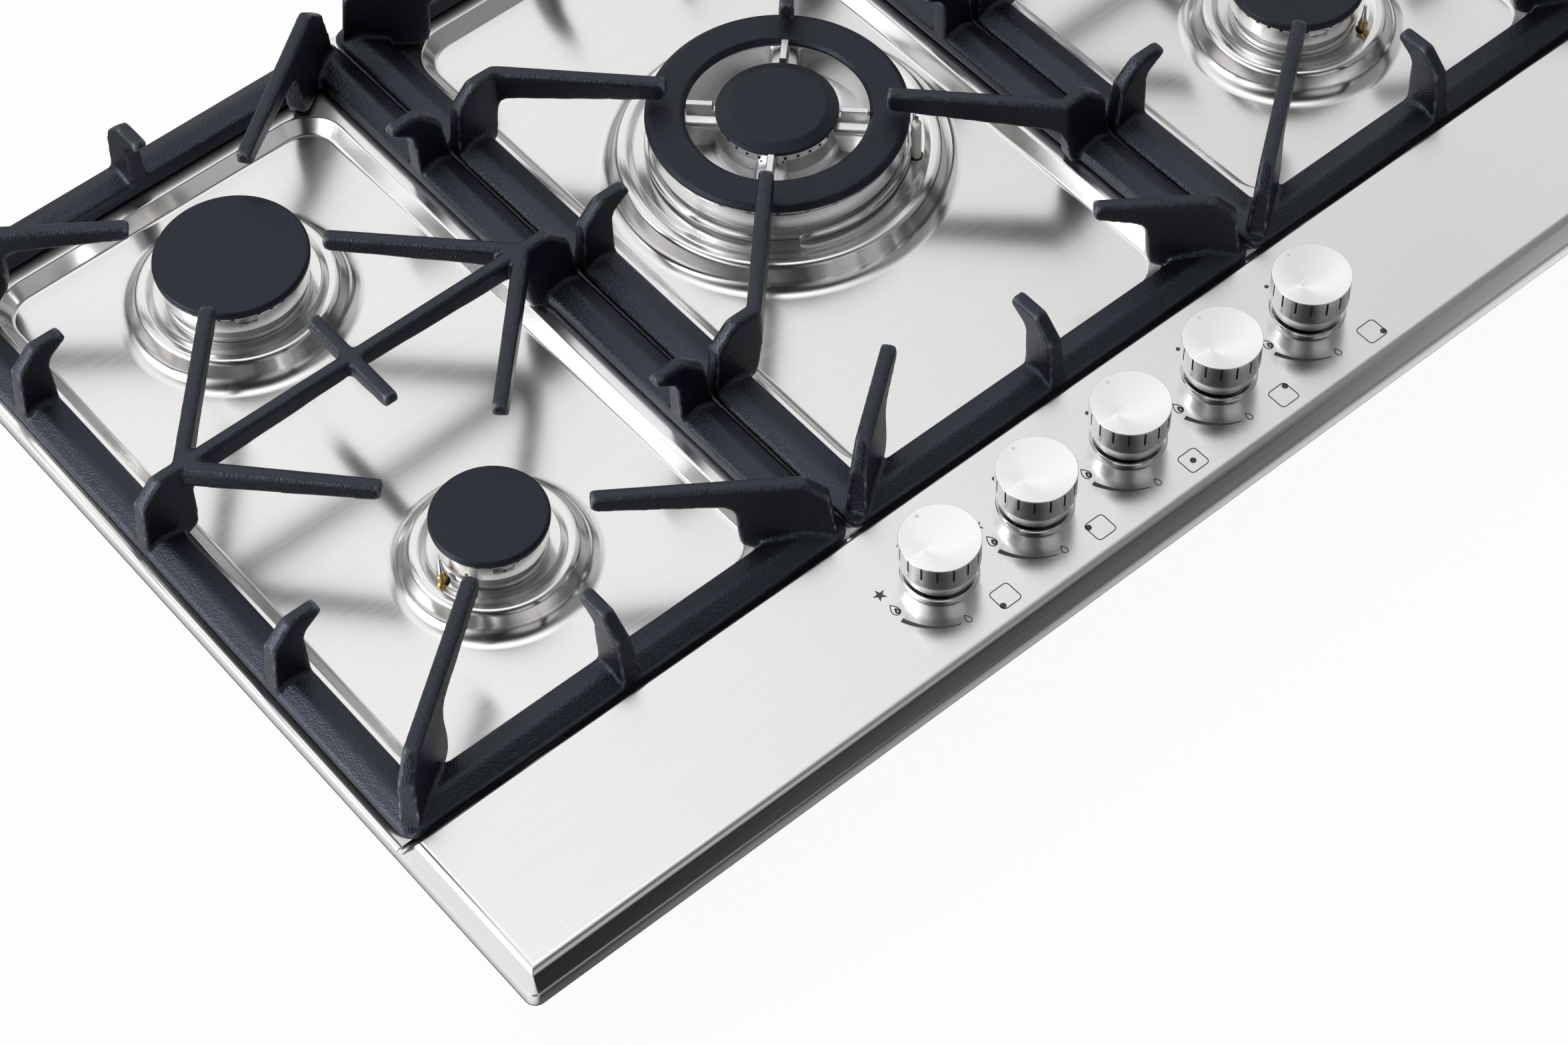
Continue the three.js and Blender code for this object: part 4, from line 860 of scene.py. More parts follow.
class NodeTree:
    """A Geometry Nodes tree with named inputs, built once."""

    label = "tree"
    inlets: tuple[Inlet, ...] = ()

    @classmethod
    def tree(cls) -> bpy.types.NodeTree:
        """Gives the tree, and builds it the first time."""
        known = bpy.data.node_groups.get(cls.label)
        if known:
            return known
        tree = new_group(cls.label, "GeometryNodeTree", cls.inlets)
        tree.is_modifier = True
        tree.interface.new_socket("Geometry", in_out="OUTPUT", socket_type="NodeSocketGeometry")
        wires = Wiring(tree)
        given = wires.node("NodeGroupInput").outputs
        shape = cls.wire(wires, given)
        real = wires.out("GeometryNodeRealizeInstances", {0: shape})
        done = wires.out("GeometryNodeSetMaterial", {"Geometry": real, "Material": given["Material"]})
        wires.node("NodeGroupOutput", {0: done})
        return tree

    @classmethod
    def wire(cls, wires: Wiring, given: Outlets) -> Socket:
        """Builds the inside of the tree and gives its last shape."""
        raise NotImplementedError

    @classmethod
    def copies(cls, wires: Wiring, given: Outlets, shape: object) -> Socket:
        """Sets copies of a shape evenly round the upright axis through Centre.

        Args:
            wires: the tree's wiring.
            given: the tree's inputs, with Count, Turn and Centre among them.
            shape: the shape, standing round the origin.

        Returns:
            The copies.
        """
        line = wires.out(
            "GeometryNodeMeshLine",
            {"Count": given["Count"], "Start Location": given["Centre"], "Offset": (0.0, 0.0, 0.0)},
        )
        index = wires.out("GeometryNodeInputIndex")
        pitch = wires.math("DIVIDE", FULL_TURN, given["Count"])
        turn = wires.math("ADD", wires.math("MULTIPLY", index, pitch), given["Turn"])
        spin = wires.out("ShaderNodeCombineXYZ", {2: turn})
        return wires.out(
            "GeometryNodeInstanceOnPoints", {"Points": line, "Instance": shape, "Rotation": spin},
        )

    @classmethod
    def mesh(cls, name: str, finish: Finish, **values: object) -> Mesh:
        """Runs the tree once and keeps the result as a plain mesh.

        Args:
            name: the mesh's name.
            finish: the finish that its last node sets.
            values: the tree's inputs by name.

        Returns:
            The mesh, smooth apart from its real edges.
        """
        carrier = bpy.data.objects.new(name, bpy.data.meshes.new(name))
        bpy.context.scene.collection.objects.link(carrier)
        modifier = carrier.modifiers.new("shape", "NODES")
        modifier.node_group = cls.tree()
        values["Material"] = finish.material()
        for item in cls.tree().interface.items_tree:
            if item.in_out == "INPUT" and item.name in values:
                modifier[item.identifier] = values[item.name]
        mesh = evaluated(carrier)
        mesh.name = name
        build = bmesh.new()
        build.from_mesh(mesh)
        bmesh.ops.remove_doubles(build, verts=build.verts, dist=1e-6)
        bmesh.ops.recalc_face_normals(build, faces=build.faces)
        build.to_mesh(mesh)
        build.free()
        mesh.shade_smooth()
        mesh.set_sharp_from_angle(angle=SMOOTH_ANGLE)
        return mesh


class ToothedRing(NodeTree):
    """A ring of curved teeth with gaps between them, as round a knob or under a cap."""

    label = "toothed ring"
    inlets = (
        ("Count", "NodeSocketInt", 16),
        ("Radius", "NodeSocketFloat", 0.02),
        ("Wall", "NodeSocketFloat", 0.001),
        ("Height", "NodeSocketFloat", 0.005),
        ("Gap", "NodeSocketFloat", 0.001),
        ("Edge", "NodeSocketFloat", 0.0002),
        ("Turn", "NodeSocketFloat", 0.0),
        ("Centre", "NodeSocketVector", (0.0, 0.0, 0.0)),
        ("Material", "NodeSocketMaterial", None),
    )

    @classmethod
    def wire(cls, wires: Wiring, given: Outlets) -> Socket:
        """Sweeps a rounded section along one arc and repeats it."""
        pitch = wires.math("DIVIDE", FULL_TURN, given["Count"])
        sweep = wires.math("SUBTRACT", pitch, wires.math("DIVIDE", given["Gap"], given["Radius"]))
        middle = wires.math("SUBTRACT", given["Radius"], wires.math("MULTIPLY", given["Wall"], 0.5))
        arc = wires.out(
            "GeometryNodeCurveArc",
            {"Resolution": 10, "Radius": middle, "Start Angle": 0.0, "Sweep Angle": sweep},
            mode="RADIUS",
        )
        upright = wires.out("GeometryNodeSetCurveNormal", {0: arc}, mode="Z_UP")
        section = wires.out(
            "GeometryNodeCurvePrimitiveQuadrilateral", {"Width": given["Wall"], "Height": given["Height"]},
            mode="RECTANGLE",
        )
        soft = wires.out(
            "GeometryNodeFilletCurve", {"Curve": section, "Count": 2, "Radius": given["Edge"]}, mode="POLY",
        )
        tooth = wires.out(
            "GeometryNodeCurveToMesh", {"Curve": upright, "Profile Curve": soft, "Fill Caps": True},
        )
        return cls.copies(wires, given, tooth)


class RingOfStuds(NodeTree):
    """Short round studs or holes that point outwards from a ring."""

    label = "ring of studs"
    inlets = (
        ("Count", "NodeSocketInt", 24),
        ("Radius", "NodeSocketFloat", 0.02),
        ("Stud", "NodeSocketFloat", 0.0008),
        ("Length", "NodeSocketFloat", 0.001),
        ("Turn", "NodeSocketFloat", 0.0),
        ("Centre", "NodeSocketVector", (0.0, 0.0, 0.0)),
        ("Material", "NodeSocketMaterial", None),
    )

    @classmethod
    def wire(cls, wires: Wiring, given: Outlets) -> Socket:
        """Lays one stud on its side at the ring and repeats it."""
        stud = wires.out(
            "GeometryNodeMeshCylinder",
            {"Vertices": 12, "Radius": given["Stud"], "Depth": given["Length"]},
        )
        reach = wires.out("ShaderNodeCombineXYZ", {0: given["Radius"]})
        laid = wires.out(
            "GeometryNodeTransform",
            {"Geometry": stud, "Translation": reach, "Rotation": (0.0, math.pi / 2, 0.0)},
        )
        return cls.copies(wires, given, laid)


def metres(x: float, y: float, z: float) -> tuple[float, float, float]:
    """Turns millimetres above the worktop plane into metres in the shared frame."""
    return (x / 1000, y / 1000, (z + WORKTOP) / 1000)


# ------------------------------------------------------------------ burners


@dataclass(frozen=True)
class Burner:
    """Place and sizes of one burner, in millimetres."""

    name: str
    x: float
    y: float
    cap: float
    plinth: float
    igniter: float
    thermocouple: float
    spread: float = 7.8
    fillet: float = 9.0

    @property
    def centre(self) -> Plan:
        """The burner's axis in plan."""
        return (self.x, self.y)

    @property
    def crown(self) -> float:
        """Radius of the crown's band."""
        return self.cap - 2.0

    @property
    def cup(self) -> float:
        """Radius of the cup's neck."""
        return self.cap - 6.5

    def cup_skin(self, floor: Path, segments: int) -> Skin:
        """Turns the cup with its flange.

        Args:
            floor: the corners inside the neck, down to the axis.
            segments: faces round the axis.

        Returns:
            The cup without its inlet arm.
        """
        neck, flange = BAND_FOOT - CLEARANCE, DISH + CLEARANCE
        return lathe([
            (0.0, CUP_FOOT, 0.0), (self.cup, CUP_FOOT, 2.0), (self.cup, flange, 0.0),
            (self.cup + 4.0, flange, 0.0),
            (self.cup + 4.0, DISH + 2.5, 1.0), (self.cup, DISH + 2.5, 0.8), (self.cup, neck, 0.4),
            (self.cup - 3.0, neck, 0.0), *floor,
        ], self.centre, segments, steps=3)

    def beside(self, degrees: float, radius: float) -> Plan:
        """Where a probe of that radius stands beside the band, at an angle from +X."""
        reach = self.crown + 1.5 + radius
        turn = math.radians(degrees)
        return (self.x + reach * math.cos(turn), self.y + reach * math.sin(turn))


BURNERS = (
    Burner("front_left", -257.0, -58.0, 28.5, 37.5, 212.0, 183.0),
    Burner("rear_left", -257.0, 148.0, 38.6, 47.4, 80.0, 58.0),
    Burner("wok", 0.0, 45.0, 66.0, 79.0, -48.0, -40.0, spread=7.4, fillet=7.6),
    Burner("rear_right", 257.0, 148.0, 35.3, 44.5, 122.0, 100.0),
    Burner("front_right", 257.0, -58.0, 35.3, 44.5, 60.0, -64.0),
)
SEAT = 29.9  # underside of the four outer caps
DISH = 11.0  # the dish that the cups stand in


@dataclass
class SingleBurner:
    """An outer burner: cup, crown with its ports, and enamelled cap."""

    burner: Burner
    band_top: float = 29.6
    port_height: float = 2.0
    port_gap: float = 1.7
    port_pitch: float = 6.5
    cap_thickness: float = 4.6
    window_angle: float = 246.0
    window_width: float = 10.0

    def build(self) -> None:
        """Builds and dresses the burner's pieces."""
        self.cup()
        self.crown()
        self.cap()

    def cup(self) -> None:
        """The cup that hangs through the plinth, with its flange and inlet arm."""
        b = self.burner
        skin = b.cup_skin([(b.cup - 3.0, 8.0, 0.0), (0.0, 8.0, 0.0)], 72)
        side = -1.0 if b.x > 0 else 1.0
        near, far = (b.x + side * reach for reach in (b.cup - 1.0, b.cup + ARM_REACH))
        skin.bar((near, b.y, ARM_LEVEL), (far, b.y, ARM_LEVEL), ARM_RADIUS)
        piece(
            f"cup_{b.name}", skin, CAST, "hob",
            replaces=(f"burner_cup_{b.name}",),
        )

    def crown(self) -> None:
        """The band with a window by the igniter, and the row of ports under the cap."""
        b, skin = self.burner, Skin()
        body = f"crown_{b.name}"
        spigot, throat = b.cup - 3.3, (b.cup - 3.3) * 0.45
        top = self.band_top - self.port_height
        half = self.window_width / 2 / b.crown
        middle = math.radians(self.window_angle)

        def window(turn: float, z: float) -> float:
            """Depth of the window at a place on the band."""
            away = abs((turn - middle + math.pi) % FULL_TURN - math.pi)
            return 1.5 if away < half and 23.7 < z < 30.0 else 0.0

        inside = rounded([
            (throat, 13.5, 0.0), (spigot, 13.5, 0.0), (spigot, BAND_FOOT, 0.0),
            (b.crown, BAND_FOOT, 0.6), (b.crown, 23.6, 0.0),
        ], steps=2)
        section = inside + [(b.crown, 23.75)] + rounded([
            (b.crown, 24.6, 0.0), (b.crown, top, 0.25), (b.crown - 4.2, top, 0.0),
            (b.crown - 4.2, 21.5, 0.0), (throat, 21.5, 0.0),
        ], steps=2)

        angles = circle_angles(96, [(middle, half)])
        rows = skin.turned(section[:1], b.centre, angles=angles)
        for radius, z in section[1:]:
            draw = window if radius > b.crown - 1.0 else None
            rows += skin.turned([(radius, z)], b.centre, angles=angles, relief=draw)
        skin.rows(rows, looped=True)
        piece(body, skin, MACHINED, body, Lay.ROUND, b.centre, (f"flame_crown_{b.name}",))
        count = round(FULL_TURN * b.crown / self.port_pitch)
        ports = ToothedRing.mesh(
            f"ports_{b.name}", MACHINED, Count=count, Radius=(b.crown - 0.1) / 1000, Wall=0.004,
            Height=self.port_height / 1000, Gap=self.port_gap / 1000, Edge=0.0002,
            Centre=metres(b.x, b.y, self.band_top - self.port_height / 2),
        )
        piece(f"ports_{b.name}", ports, MACHINED, body, Lay.ROUND, b.centre)

    def cap(self) -> None:
        """The enamelled cap, with a soft rim and a lip that centres it."""
        b, skin = self.burner, Skin()
        lip, top = b.crown - 6.0, SEAT + self.cap_thickness
        section = rounded([
            (0.0, top, 0.0), (b.cap * 0.6, top, 0.0), (b.cap, top - 0.25, 2.5), (b.cap - 0.5, SEAT, 0.8),
            (lip, SEAT, 0.0), (lip, SEAT - LIP, 0.4), (0.0, SEAT - LIP, 0.0),
        ], steps=6)
        skin.turned(section, b.centre, 128)
        piece(
            f"cap_{b.name}", skin, ENAMEL, f"cap_{b.name}",
            replaces=(f"burner_cap_{b.name}",),
        )


@dataclass
class WokBurner:
    """The middle burner: two flame rings, joined by four cast bridges."""

    burner: Burner
    crown_top: float = 32.4
    ring_width: float = 17.0
    core: float = 29.0
    core_top: float = 34.6
    centre_cap: float = 31.0
    notch_height: float = 2.6
    notch_pitch: float = 13.0
    trim_gap_angle: float = 231.0

    @property
    def inner(self) -> float:
        """Inside radius of the outer flame ring."""
        return self.burner.crown - self.ring_width

    def build(self) -> None:
        """Builds and dresses the burner's pieces."""
        self.cup()
        self.trim()
        self.crown()
        self.ring_cap()
        self.middle_cap()

    def cup(self) -> None:
        """The wide cup with its floor between the two flame rings."""
        b = self.burner
        skin = b.cup_skin([(b.cup - 3.0, 15.0, 0.0), (34.0, 17.0, 3.0), (0.0, 17.0, 0.0)], 128)
        near, far = b.y - b.cup + 1.0, b.y - b.cup - ARM_REACH
        skin.bar((b.x, near, ARM_LEVEL), (b.x, far, ARM_LEVEL), ARM_RADIUS)
        piece("cup_wok", skin, CAST, "hob", replaces=("burner_cup_wok",))

    def trim(self) -> None:
        """The open ring round the cup, with its ends turned down."""
        b, skin = self.burner, Skin()
        section = rounded([
            (64.6, 13.4, 0.3), (67.0, 13.2, 0.5), (67.3, 15.2, 0.8), (66.3, 16.7, 0.7), (64.8, 16.7, 0.4),
        ], steps=3, closed=True)
        middle, half = math.radians(self.trim_gap_angle), 9.5 / 66.0
        rows = []
        for i in range(121):
            share = i / 120
            turn = middle + half + (FULL_TURN - 2 * half) * share
            end = min(share, 1 - share) * (FULL_TURN - 2 * half) * 66.0
            drop = 2.0 * max(0.0, 1 - end / 4.0)
            rows.append([
                skin.corner(
                    b.x + r * math.cos(turn), b.y + r * math.sin(turn), max(z - drop, 11.1),
                ) for r, z in section
            ])
        skin.capped(rows)
        piece("trim_wok", skin, MACHINED, "hob", Lay.ROUND, b.centre)

    def crown(self) -> None:
        """Outer ring, conical core and the four bridges with their upright ribs."""
        b = self.burner
        low, inner = 13.5, self.inner
        top = self.crown_top - self.notch_height
        ring = lathe([
            (inner, low, 0.5), (b.cup - 3.3, low, 0.0), (b.cup - 3.3, BAND_FOOT, 0.0),
            (b.crown, BAND_FOOT, 1.2), (b.crown, top, 0.4), (b.crown - 1.2, top, 0.0),
            (b.crown - 1.2, self.crown_top, 0.0), (b.crown - 3.5, self.crown_top, 0.0),
            (b.crown - 3.5, 24.0, 0.0),
            (inner + 3.5, 24.0, 0.0), (inner + 3.5, self.crown_top, 0.0), (inner, self.crown_top, 0.8),
        ], b.centre, 144, steps=3, closed=True)
        piece(
            "crown_ring_wok", ring, MACHINED, "crown_wok",
            Lay.ROUND, b.centre, ("flame_crown_wok",),
        )
        count = round(360 / self.notch_pitch)
        notches = ToothedRing.mesh(
            "notches_wok", CAST, Count=count, Radius=(b.crown - 0.5) / 1000, Wall=0.0024,
            Height=self.notch_height / 1000, Gap=0.0022, Edge=0.0002,
            Centre=metres(b.x, b.y, self.crown_top - self.notch_height / 2),
        )
        piece("notches_wok", notches, CAST, "crown_wok", Lay.ROUND, b.centre)
        core = lathe([
            (0.0, low, 0.0), (32.0, low, 0.6), (31.4, 24.0, 4.0), (self.core, 29.6, 3.0),
            (self.core, self.core_top, 0.4), (self.core - 4.0, self.core_top, 0.0),
            (self.core - 4.0, 21.5, 0.0),
            (0.0, 21.5, 0.0),
        ], b.centre, 128, steps=4)
        for quarter in range(4):
            turn = math.pi / 4 + quarter * math.pi / 2
            self.bridge(core, turn)
        piece("crown_core_wok", core, CAST, "crown_wok")
        # Dark studs on the core's wall: painted shadow standing in for the small round port holes.
        holes = RingOfStuds.mesh(
            "port_shadows_wok_core", SHADOW, Count=28, Radius=(self.core + 0.02) / 1000, Stud=0.0008, Length=0.0004,
            Turn=math.radians(6.4), Centre=metres(b.x, b.y, 31.6),
        )
        piece("port_shadows_wok_core", holes, SHADOW, "crown_wok")

    def bridge(self, skin: Skin, turn: float) -> None:
        """Adds one bridge: a broad rounded shoulder that carries an upright rib.

        Args:
            skin: the surface to add it to.
            turn: the bridge's direction from +X.
        """
        shoulder = rounded([
            (-8.6, 13.6, 0.0), (-8.0, 29.6, 3.0), (-2.6, 31.4, 1.0), (2.6, 31.4, 1.0), (8.0, 29.6, 3.0),
            (8.6, 13.6, 0.0),
        ], steps=3)
        rib = rounded([
            (-3.0, 25.0, 0.0), (-1.7, 38.4, 0.6), (1.7, 38.4, 0.6), (3.0, 25.0, 0.0),
        ], steps=3)
        foot = rounded([
            (-2.6, 25.0, 0.0), (-1.9, 34.4, 0.4), (1.9, 34.4, 0.4), (2.6, 25.0, 0.0),
        ], steps=3)
        self.sweep(skin, turn, [(27.0, shoulder), (self.inner + 0.6, shoulder)])
        self.sweep(skin, turn, [(27.2, foot), (31.5, foot), (32.2, rib), (45.0, rib)])

    def sweep(self, skin: Skin, turn: float, stations: Sequence[tuple[float, Profile]]) -> None:
        """Runs a section outwards from the axis and closes both ends."""
        b = self.burner
        out, side = (math.cos(turn), math.sin(turn)), (-math.sin(turn), math.cos(turn))
        rows = []
        for reach, section in stations:
            rows.append([
                skin.corner(
                    b.x + reach * out[0] + across * side[0], b.y + reach * out[1] + across * side[1], z,
                )
                for across, z in section
            ])
        skin.capped(rows)

    def ring_cap(self) -> None:
        """The flat ring with its rolled inner edge and soft outer edge."""
        b, skin = self.burner, Skin()
        seat, top = self.crown_top + CLEARANCE, self.crown_top + 4.5
        skin.turned(rounded([
            (46.4, seat, 0.4), (58.2, seat, 0.0), (58.2, seat - LIP, 0.0), (60.2, seat - LIP, 0.0),
            (60.2, seat, 0.0),
            (65.3, seat, 0.4), (66.0, seat + 1.8, 0.8), (63.4, top, 3.2), (47.9, top, 2.2),
            (45.5, top - 2.2, 1.6),
        ], steps=5, closed=True), b.centre, 160, looped=True)
        piece(
            "cap_wok_ring", skin, ENAMEL, "cap_wok_ring",
            replaces=("burner_cap_wok_ring",),
        )

    def middle_cap(self) -> None:
        """The small cap in the middle, with a wide soft rim."""
        b, skin = self.burner, Skin()
        seat = self.core_top + CLEARANCE
        top, lip, edge = seat + 4.6, self.core - 4.3, self.centre_cap
        skin.turned(rounded([
            (0.0, top, 0.0), (edge - 6.5, top, 5.0), (edge, top - 2.6, 1.6), (edge - 0.7, seat, 0.8),
            (lip, seat, 0.0),
            (lip, seat - LIP, 0.4), (0.0, seat - LIP, 0.0),
        ], steps=6), b.centre, 128)
        piece(
            "cap_wok_centre", skin, ENAMEL, "cap_wok_centre",
            replaces=("burner_cap_wok_centre",),
        )


@dataclass
class Probes:
    """Igniter and thermocouple of one burner, with the painted shadow of the holes they stand in."""

    burner: Burner

    def build(self) -> None:
        """Builds and dresses both probes."""
        b = self.burner
        wok = b.name == "wok"
        seat = 32.4 if wok else 29.6
        reach, top = (3.8, 39.0) if wok else (2.4, seat - 2.4)
        self.igniter(b.beside(b.igniter, reach), top)
        self.thermocouple(b.beside(b.thermocouple, 2.2), seat - 1.6)

    def igniter(self, place: Plan, top: float) -> None:
        """A white ceramic stem with a metal point."""
        name = self.burner.name
        skin = lathe([
            (0.0, PROBE_FOOT, 0.0), (4.6, PROBE_FOOT, 0.5), (4.6, -8.0, 0.5), (2.4, -6.5, 0.0),
            (2.4, top - 4.0, 0.7),
            (0.8, top - 3.2, 0.0), (0.0, top - 3.2, 0.0),
        ], place, 24, steps=3)
        piece(
            f"igniter_stem_{name}", skin, CERAMIC, "hob",
            replaces=(f"igniter_{name}",),
        )
        point = lathe([
            (0.0, top - 4.0, 0.0), (0.75, top - 4.0, 0.0), (0.75, top - 1.6, 0.0), (1.0, top - 1.2, 0.2),
            (0.9, top, 0.3), (0.0, top, 0.0),
        ], place, 16, steps=2)
        piece(f"igniter_point_{name}", point, BRASS, "hob")
        self.hole_shadow(f"igniter_hole_shadow_{name}", place, 3.7)

    def thermocouple(self, place: Plan, top: float) -> None:
        """A brass ferrule that carries a tapering steel tip."""
        name = self.burner.name
        skin = lathe([
            (0.0, PROBE_FOOT, 0.0), (4.4, PROBE_FOOT, 0.4), (4.4, -9.0, 0.4), (2.2, -9.0, 0.0),
            (2.2, 13.0, 0.0),
            (2.5, 13.2, 0.2), (2.5, 15.6, 0.3), (1.9, 16.2, 0.2), (1.9, 18.0, 0.3), (0.0, 18.0, 0.0),
        ], place, 24, steps=3)
        piece(
            f"thermocouple_ferrule_{name}", skin, BRASS, "hob",
            replaces=(f"thermocouple_{name}",),
        )
        tip = lathe([
            (0.0, 17.5, 0.0), (1.55, 17.5, 0.0), (1.45, top - 9.0, 0.4), (0.95, top - 4.0, 0.4),
            (0.85, top, 0.6),
            (0.0, top, 0.0),
        ], place, 20, steps=3)
        piece(f"thermocouple_tip_{name}", tip, BRIGHT, "hob")
        self.hole_shadow(f"thermocouple_hole_shadow_{name}", place, 3.5)

    def hole_shadow(self, name: str, place: Plan, radius: float) -> None:
        """A dark disc round a probe where it comes through the plinth: painted shadow in the hole."""
        # painted shadow: a near-black disc at the dish where the hole lies in shade
        skin = Skin()
        skin.turned(
            [(0.0, DISH - 0.2), (radius, DISH - 0.2), (radius, DISH + 0.06), (0.0, DISH + 0.06)], place, 20,
        )
        piece(name, skin, SHADOW, "hob")


# ------------------------------------------------------------------ top pan


@dataclass
class TopPan:
    """The pressed sheet: skirt, raised control strip, ledge, three recesses and five plinths."""

    half_width: float = 388.0
    half_depth: float = 257.0
    corner: float = 5.5
    ledge: float = 7.0
    panel: float = PANEL_TOP
    crease: float = -169.0
    slope_end: float = -159.0
    columns: tuple[float, ...] = (-257.0, 0.0, 257.0)
    zone_width: float = 201.0
    zone_ends: Plan = (-140.0, 224.0)
    zone_corner: float = 22.0
    floor: float = -0.5
    sheet: float = 1.2
    knob_y: float = KNOB_ROW
    knob_columns: tuple[float, ...] = (-116.6, -58.3, 0.0, 58.3, 116.6)
    spindle_hole: float = 4.2
    skin: Skin = field(default_factory=Skin)

    def corners(self, inset: float) -> list[list[Plan]]:
        """The four corner arcs of the pan's outline at an inset, from the rear right on."""
        box = (
            -self.half_width + inset, self.half_width - inset, -self.half_depth + inset,
            self.half_depth - inset,
        )
        points = outline(box, max(0.6, self.corner - inset), 6)
        return [points[i * 7:(i + 1) * 7] for i in range(4)]

    def build(self) -> None:
        """Builds the sheet, gives it its thickness and dresses it."""
        self.rim()
        self.strip()
        self.rear()
        mesh = self.skin.mesh("pan", shell=True)
        pan = piece("pan", mesh, STEEL, "hob", Lay.STRAIGHT, replaces=("top_pan",))
        wall = pan.modifiers.new("sheet", "SOLIDIFY")
        wall.thickness = self.sheet / 1000
        wall.offset = -1.0

    def rim(self) -> None:
        """The skirt, up to where ledge and control strip part."""
        rows = []
        for inset, z in ((0.0, 0.0), (0.15, 1.0), (0.75, 5.7), (0.9, 6.0)):
            rear_right, rear_left, front_left, front_right = self.corners(inset)
            x = self.half_width - inset
            points = [
                (x, self.slope_end), *rear_right, *rear_left, (-x, self.slope_end), *front_left, *front_right,
            ]
            rows.append(self.skin.ring(points, z))
        self.skin.rows(rows)

    def strip(self) -> None:
        """The raised control strip with its bevelled sides and sloping rear."""
        skin = self.skin
        side = rounded([
            (0.9, 6.0, 0.0), (1.6, 7.0, 1.0), (5.6, self.panel, 4.5), (10.4, self.panel, 0.0),
        ], steps=8)
        back = rounded([
            (self.slope_end - self.crease, self.ledge, 0.0), (6.6, self.ledge, 1.6),
            (0.0, self.panel, 1.7), (-2.5, self.panel, 0.0),
        ], steps=8)
        rows = []
        for (inset, z), (run, rear_z) in zip(side, back):
            _, _, front_left, front_right = self.corners(inset)
            x, y = self.half_width - inset, self.crease + run
            near = min(self.half_width - 5.0, x - 0.4)
            row = [skin.corner(-x, y, z), *skin.ring(front_left + front_right, z), skin.corner(x, y, z)]
            row += [skin.corner(near, y, rear_z), skin.corner(-near, y, rear_z)]
            rows.append(row)
        skin.rows(rows)
        holes = []
        for column in self.knob_columns:
            lip = skin.turned([(self.spindle_hole + 0.8, self.panel), (self.spindle_hole, self.panel)],
                              (column, self.knob_y), 24)
            holes.append(lip[0])
        skin.fill(rows[-1], holes)

    def rear(self) -> None:
        """The ledge round the recesses, the recesses and what stands in them."""
        skin = self.skin
        edge = rounded([(0.9, 6.0, 0.0), (1.4, self.ledge, 1.2), (4.4, self.ledge, 0.0)], steps=4)
        rows = []
        for inset, z in edge:
            rear_right, rear_left, _, _ = self.corners(inset)
            x = self.half_width - inset
            rows.append(skin.ring([(x, self.slope_end), *rear_right, *rear_left, (-x, self.slope_end)], z))
        skin.rows(rows, closed=False)
        for end in (0, -1):
            skin.face([row[end] for row in rows])
        skin.fill(rows[-1], [self.recess(column) for column in self.columns])

    def recess(self, column: float) -> list[int]:
        """One recess with its plinths.

        Args:
            column: the recess's middle along X.

        Returns:
            The recess's upper edge, where the ledge begins.
        """
        skin = self.skin
        wall = rounded([
            (-2.4, self.ledge, 0.0), (0.0, self.ledge, 1.7), (6.0, self.floor, 2.6), (7.9, self.floor, 0.0),
        ], steps=5)
        half, (front, back) = self.zone_width / 2, self.zone_ends
        rows = []
        for inset, z in wall:
            box = (column - half + inset, column + half - inset, front + inset, back - inset)
            rows.append(skin.ring(outline(box, self.zone_corner - inset, 8), z))
        skin.rows(rows)
        holes = [self.plinth(b) for b in BURNERS if abs(b.x - column) < 1]
        skin.fill(rows[-1], holes)
        return rows[0]

    def plinth(self, b: Burner) -> list[int]:
        """The raised round plinth of one burner, and its foot in the recess's floor."""
        foot, rim = b.plinth + b.spread, b.plinth
        section = rounded([
            (foot + 0.66 * b.fillet + 0.4, self.floor, 0.0), (foot, self.floor, b.fillet),
            (rim + 2.2, 12.3, 7.0),
            (rim - 2.6, 12.3, 4.5), (rim - 6.4, DISH, 5.0), (b.cup + 2.0, DISH, 0.0),
            (b.cup + 0.6, DISH, 0.0),
        ], steps=8)
        return self.skin.turned(section, b.centre, 144 if b.name == "wok" else 96)[0]


# ------------------------------------------------------------------ pan supports

Station = tuple[float, float, float]
WEB_FOOT = 9.5  # underside of the webs
CORNER_INSET = 4.5  # from the frame's corner to a corner finger's start
CORNER_WEB = 46.0  # length of a corner finger's web
ROOT_DEPTH = 12.5  # depth of metal where a corner finger leaves its web
TIP_DEPTH = 8.8  # depth of metal at a fingertip
STUB_REACH = 31.0  # from the frame's outer edge to a stub's tip
SHORT_REACH = 72.0  # length of the middle support's corner fingers


def run_length(path: Sequence[Plan]) -> float:
    """Length of a path in plan."""
    return sum((Vector(b) - Vector(a)).length for a, b in zip(path, path[1:]))


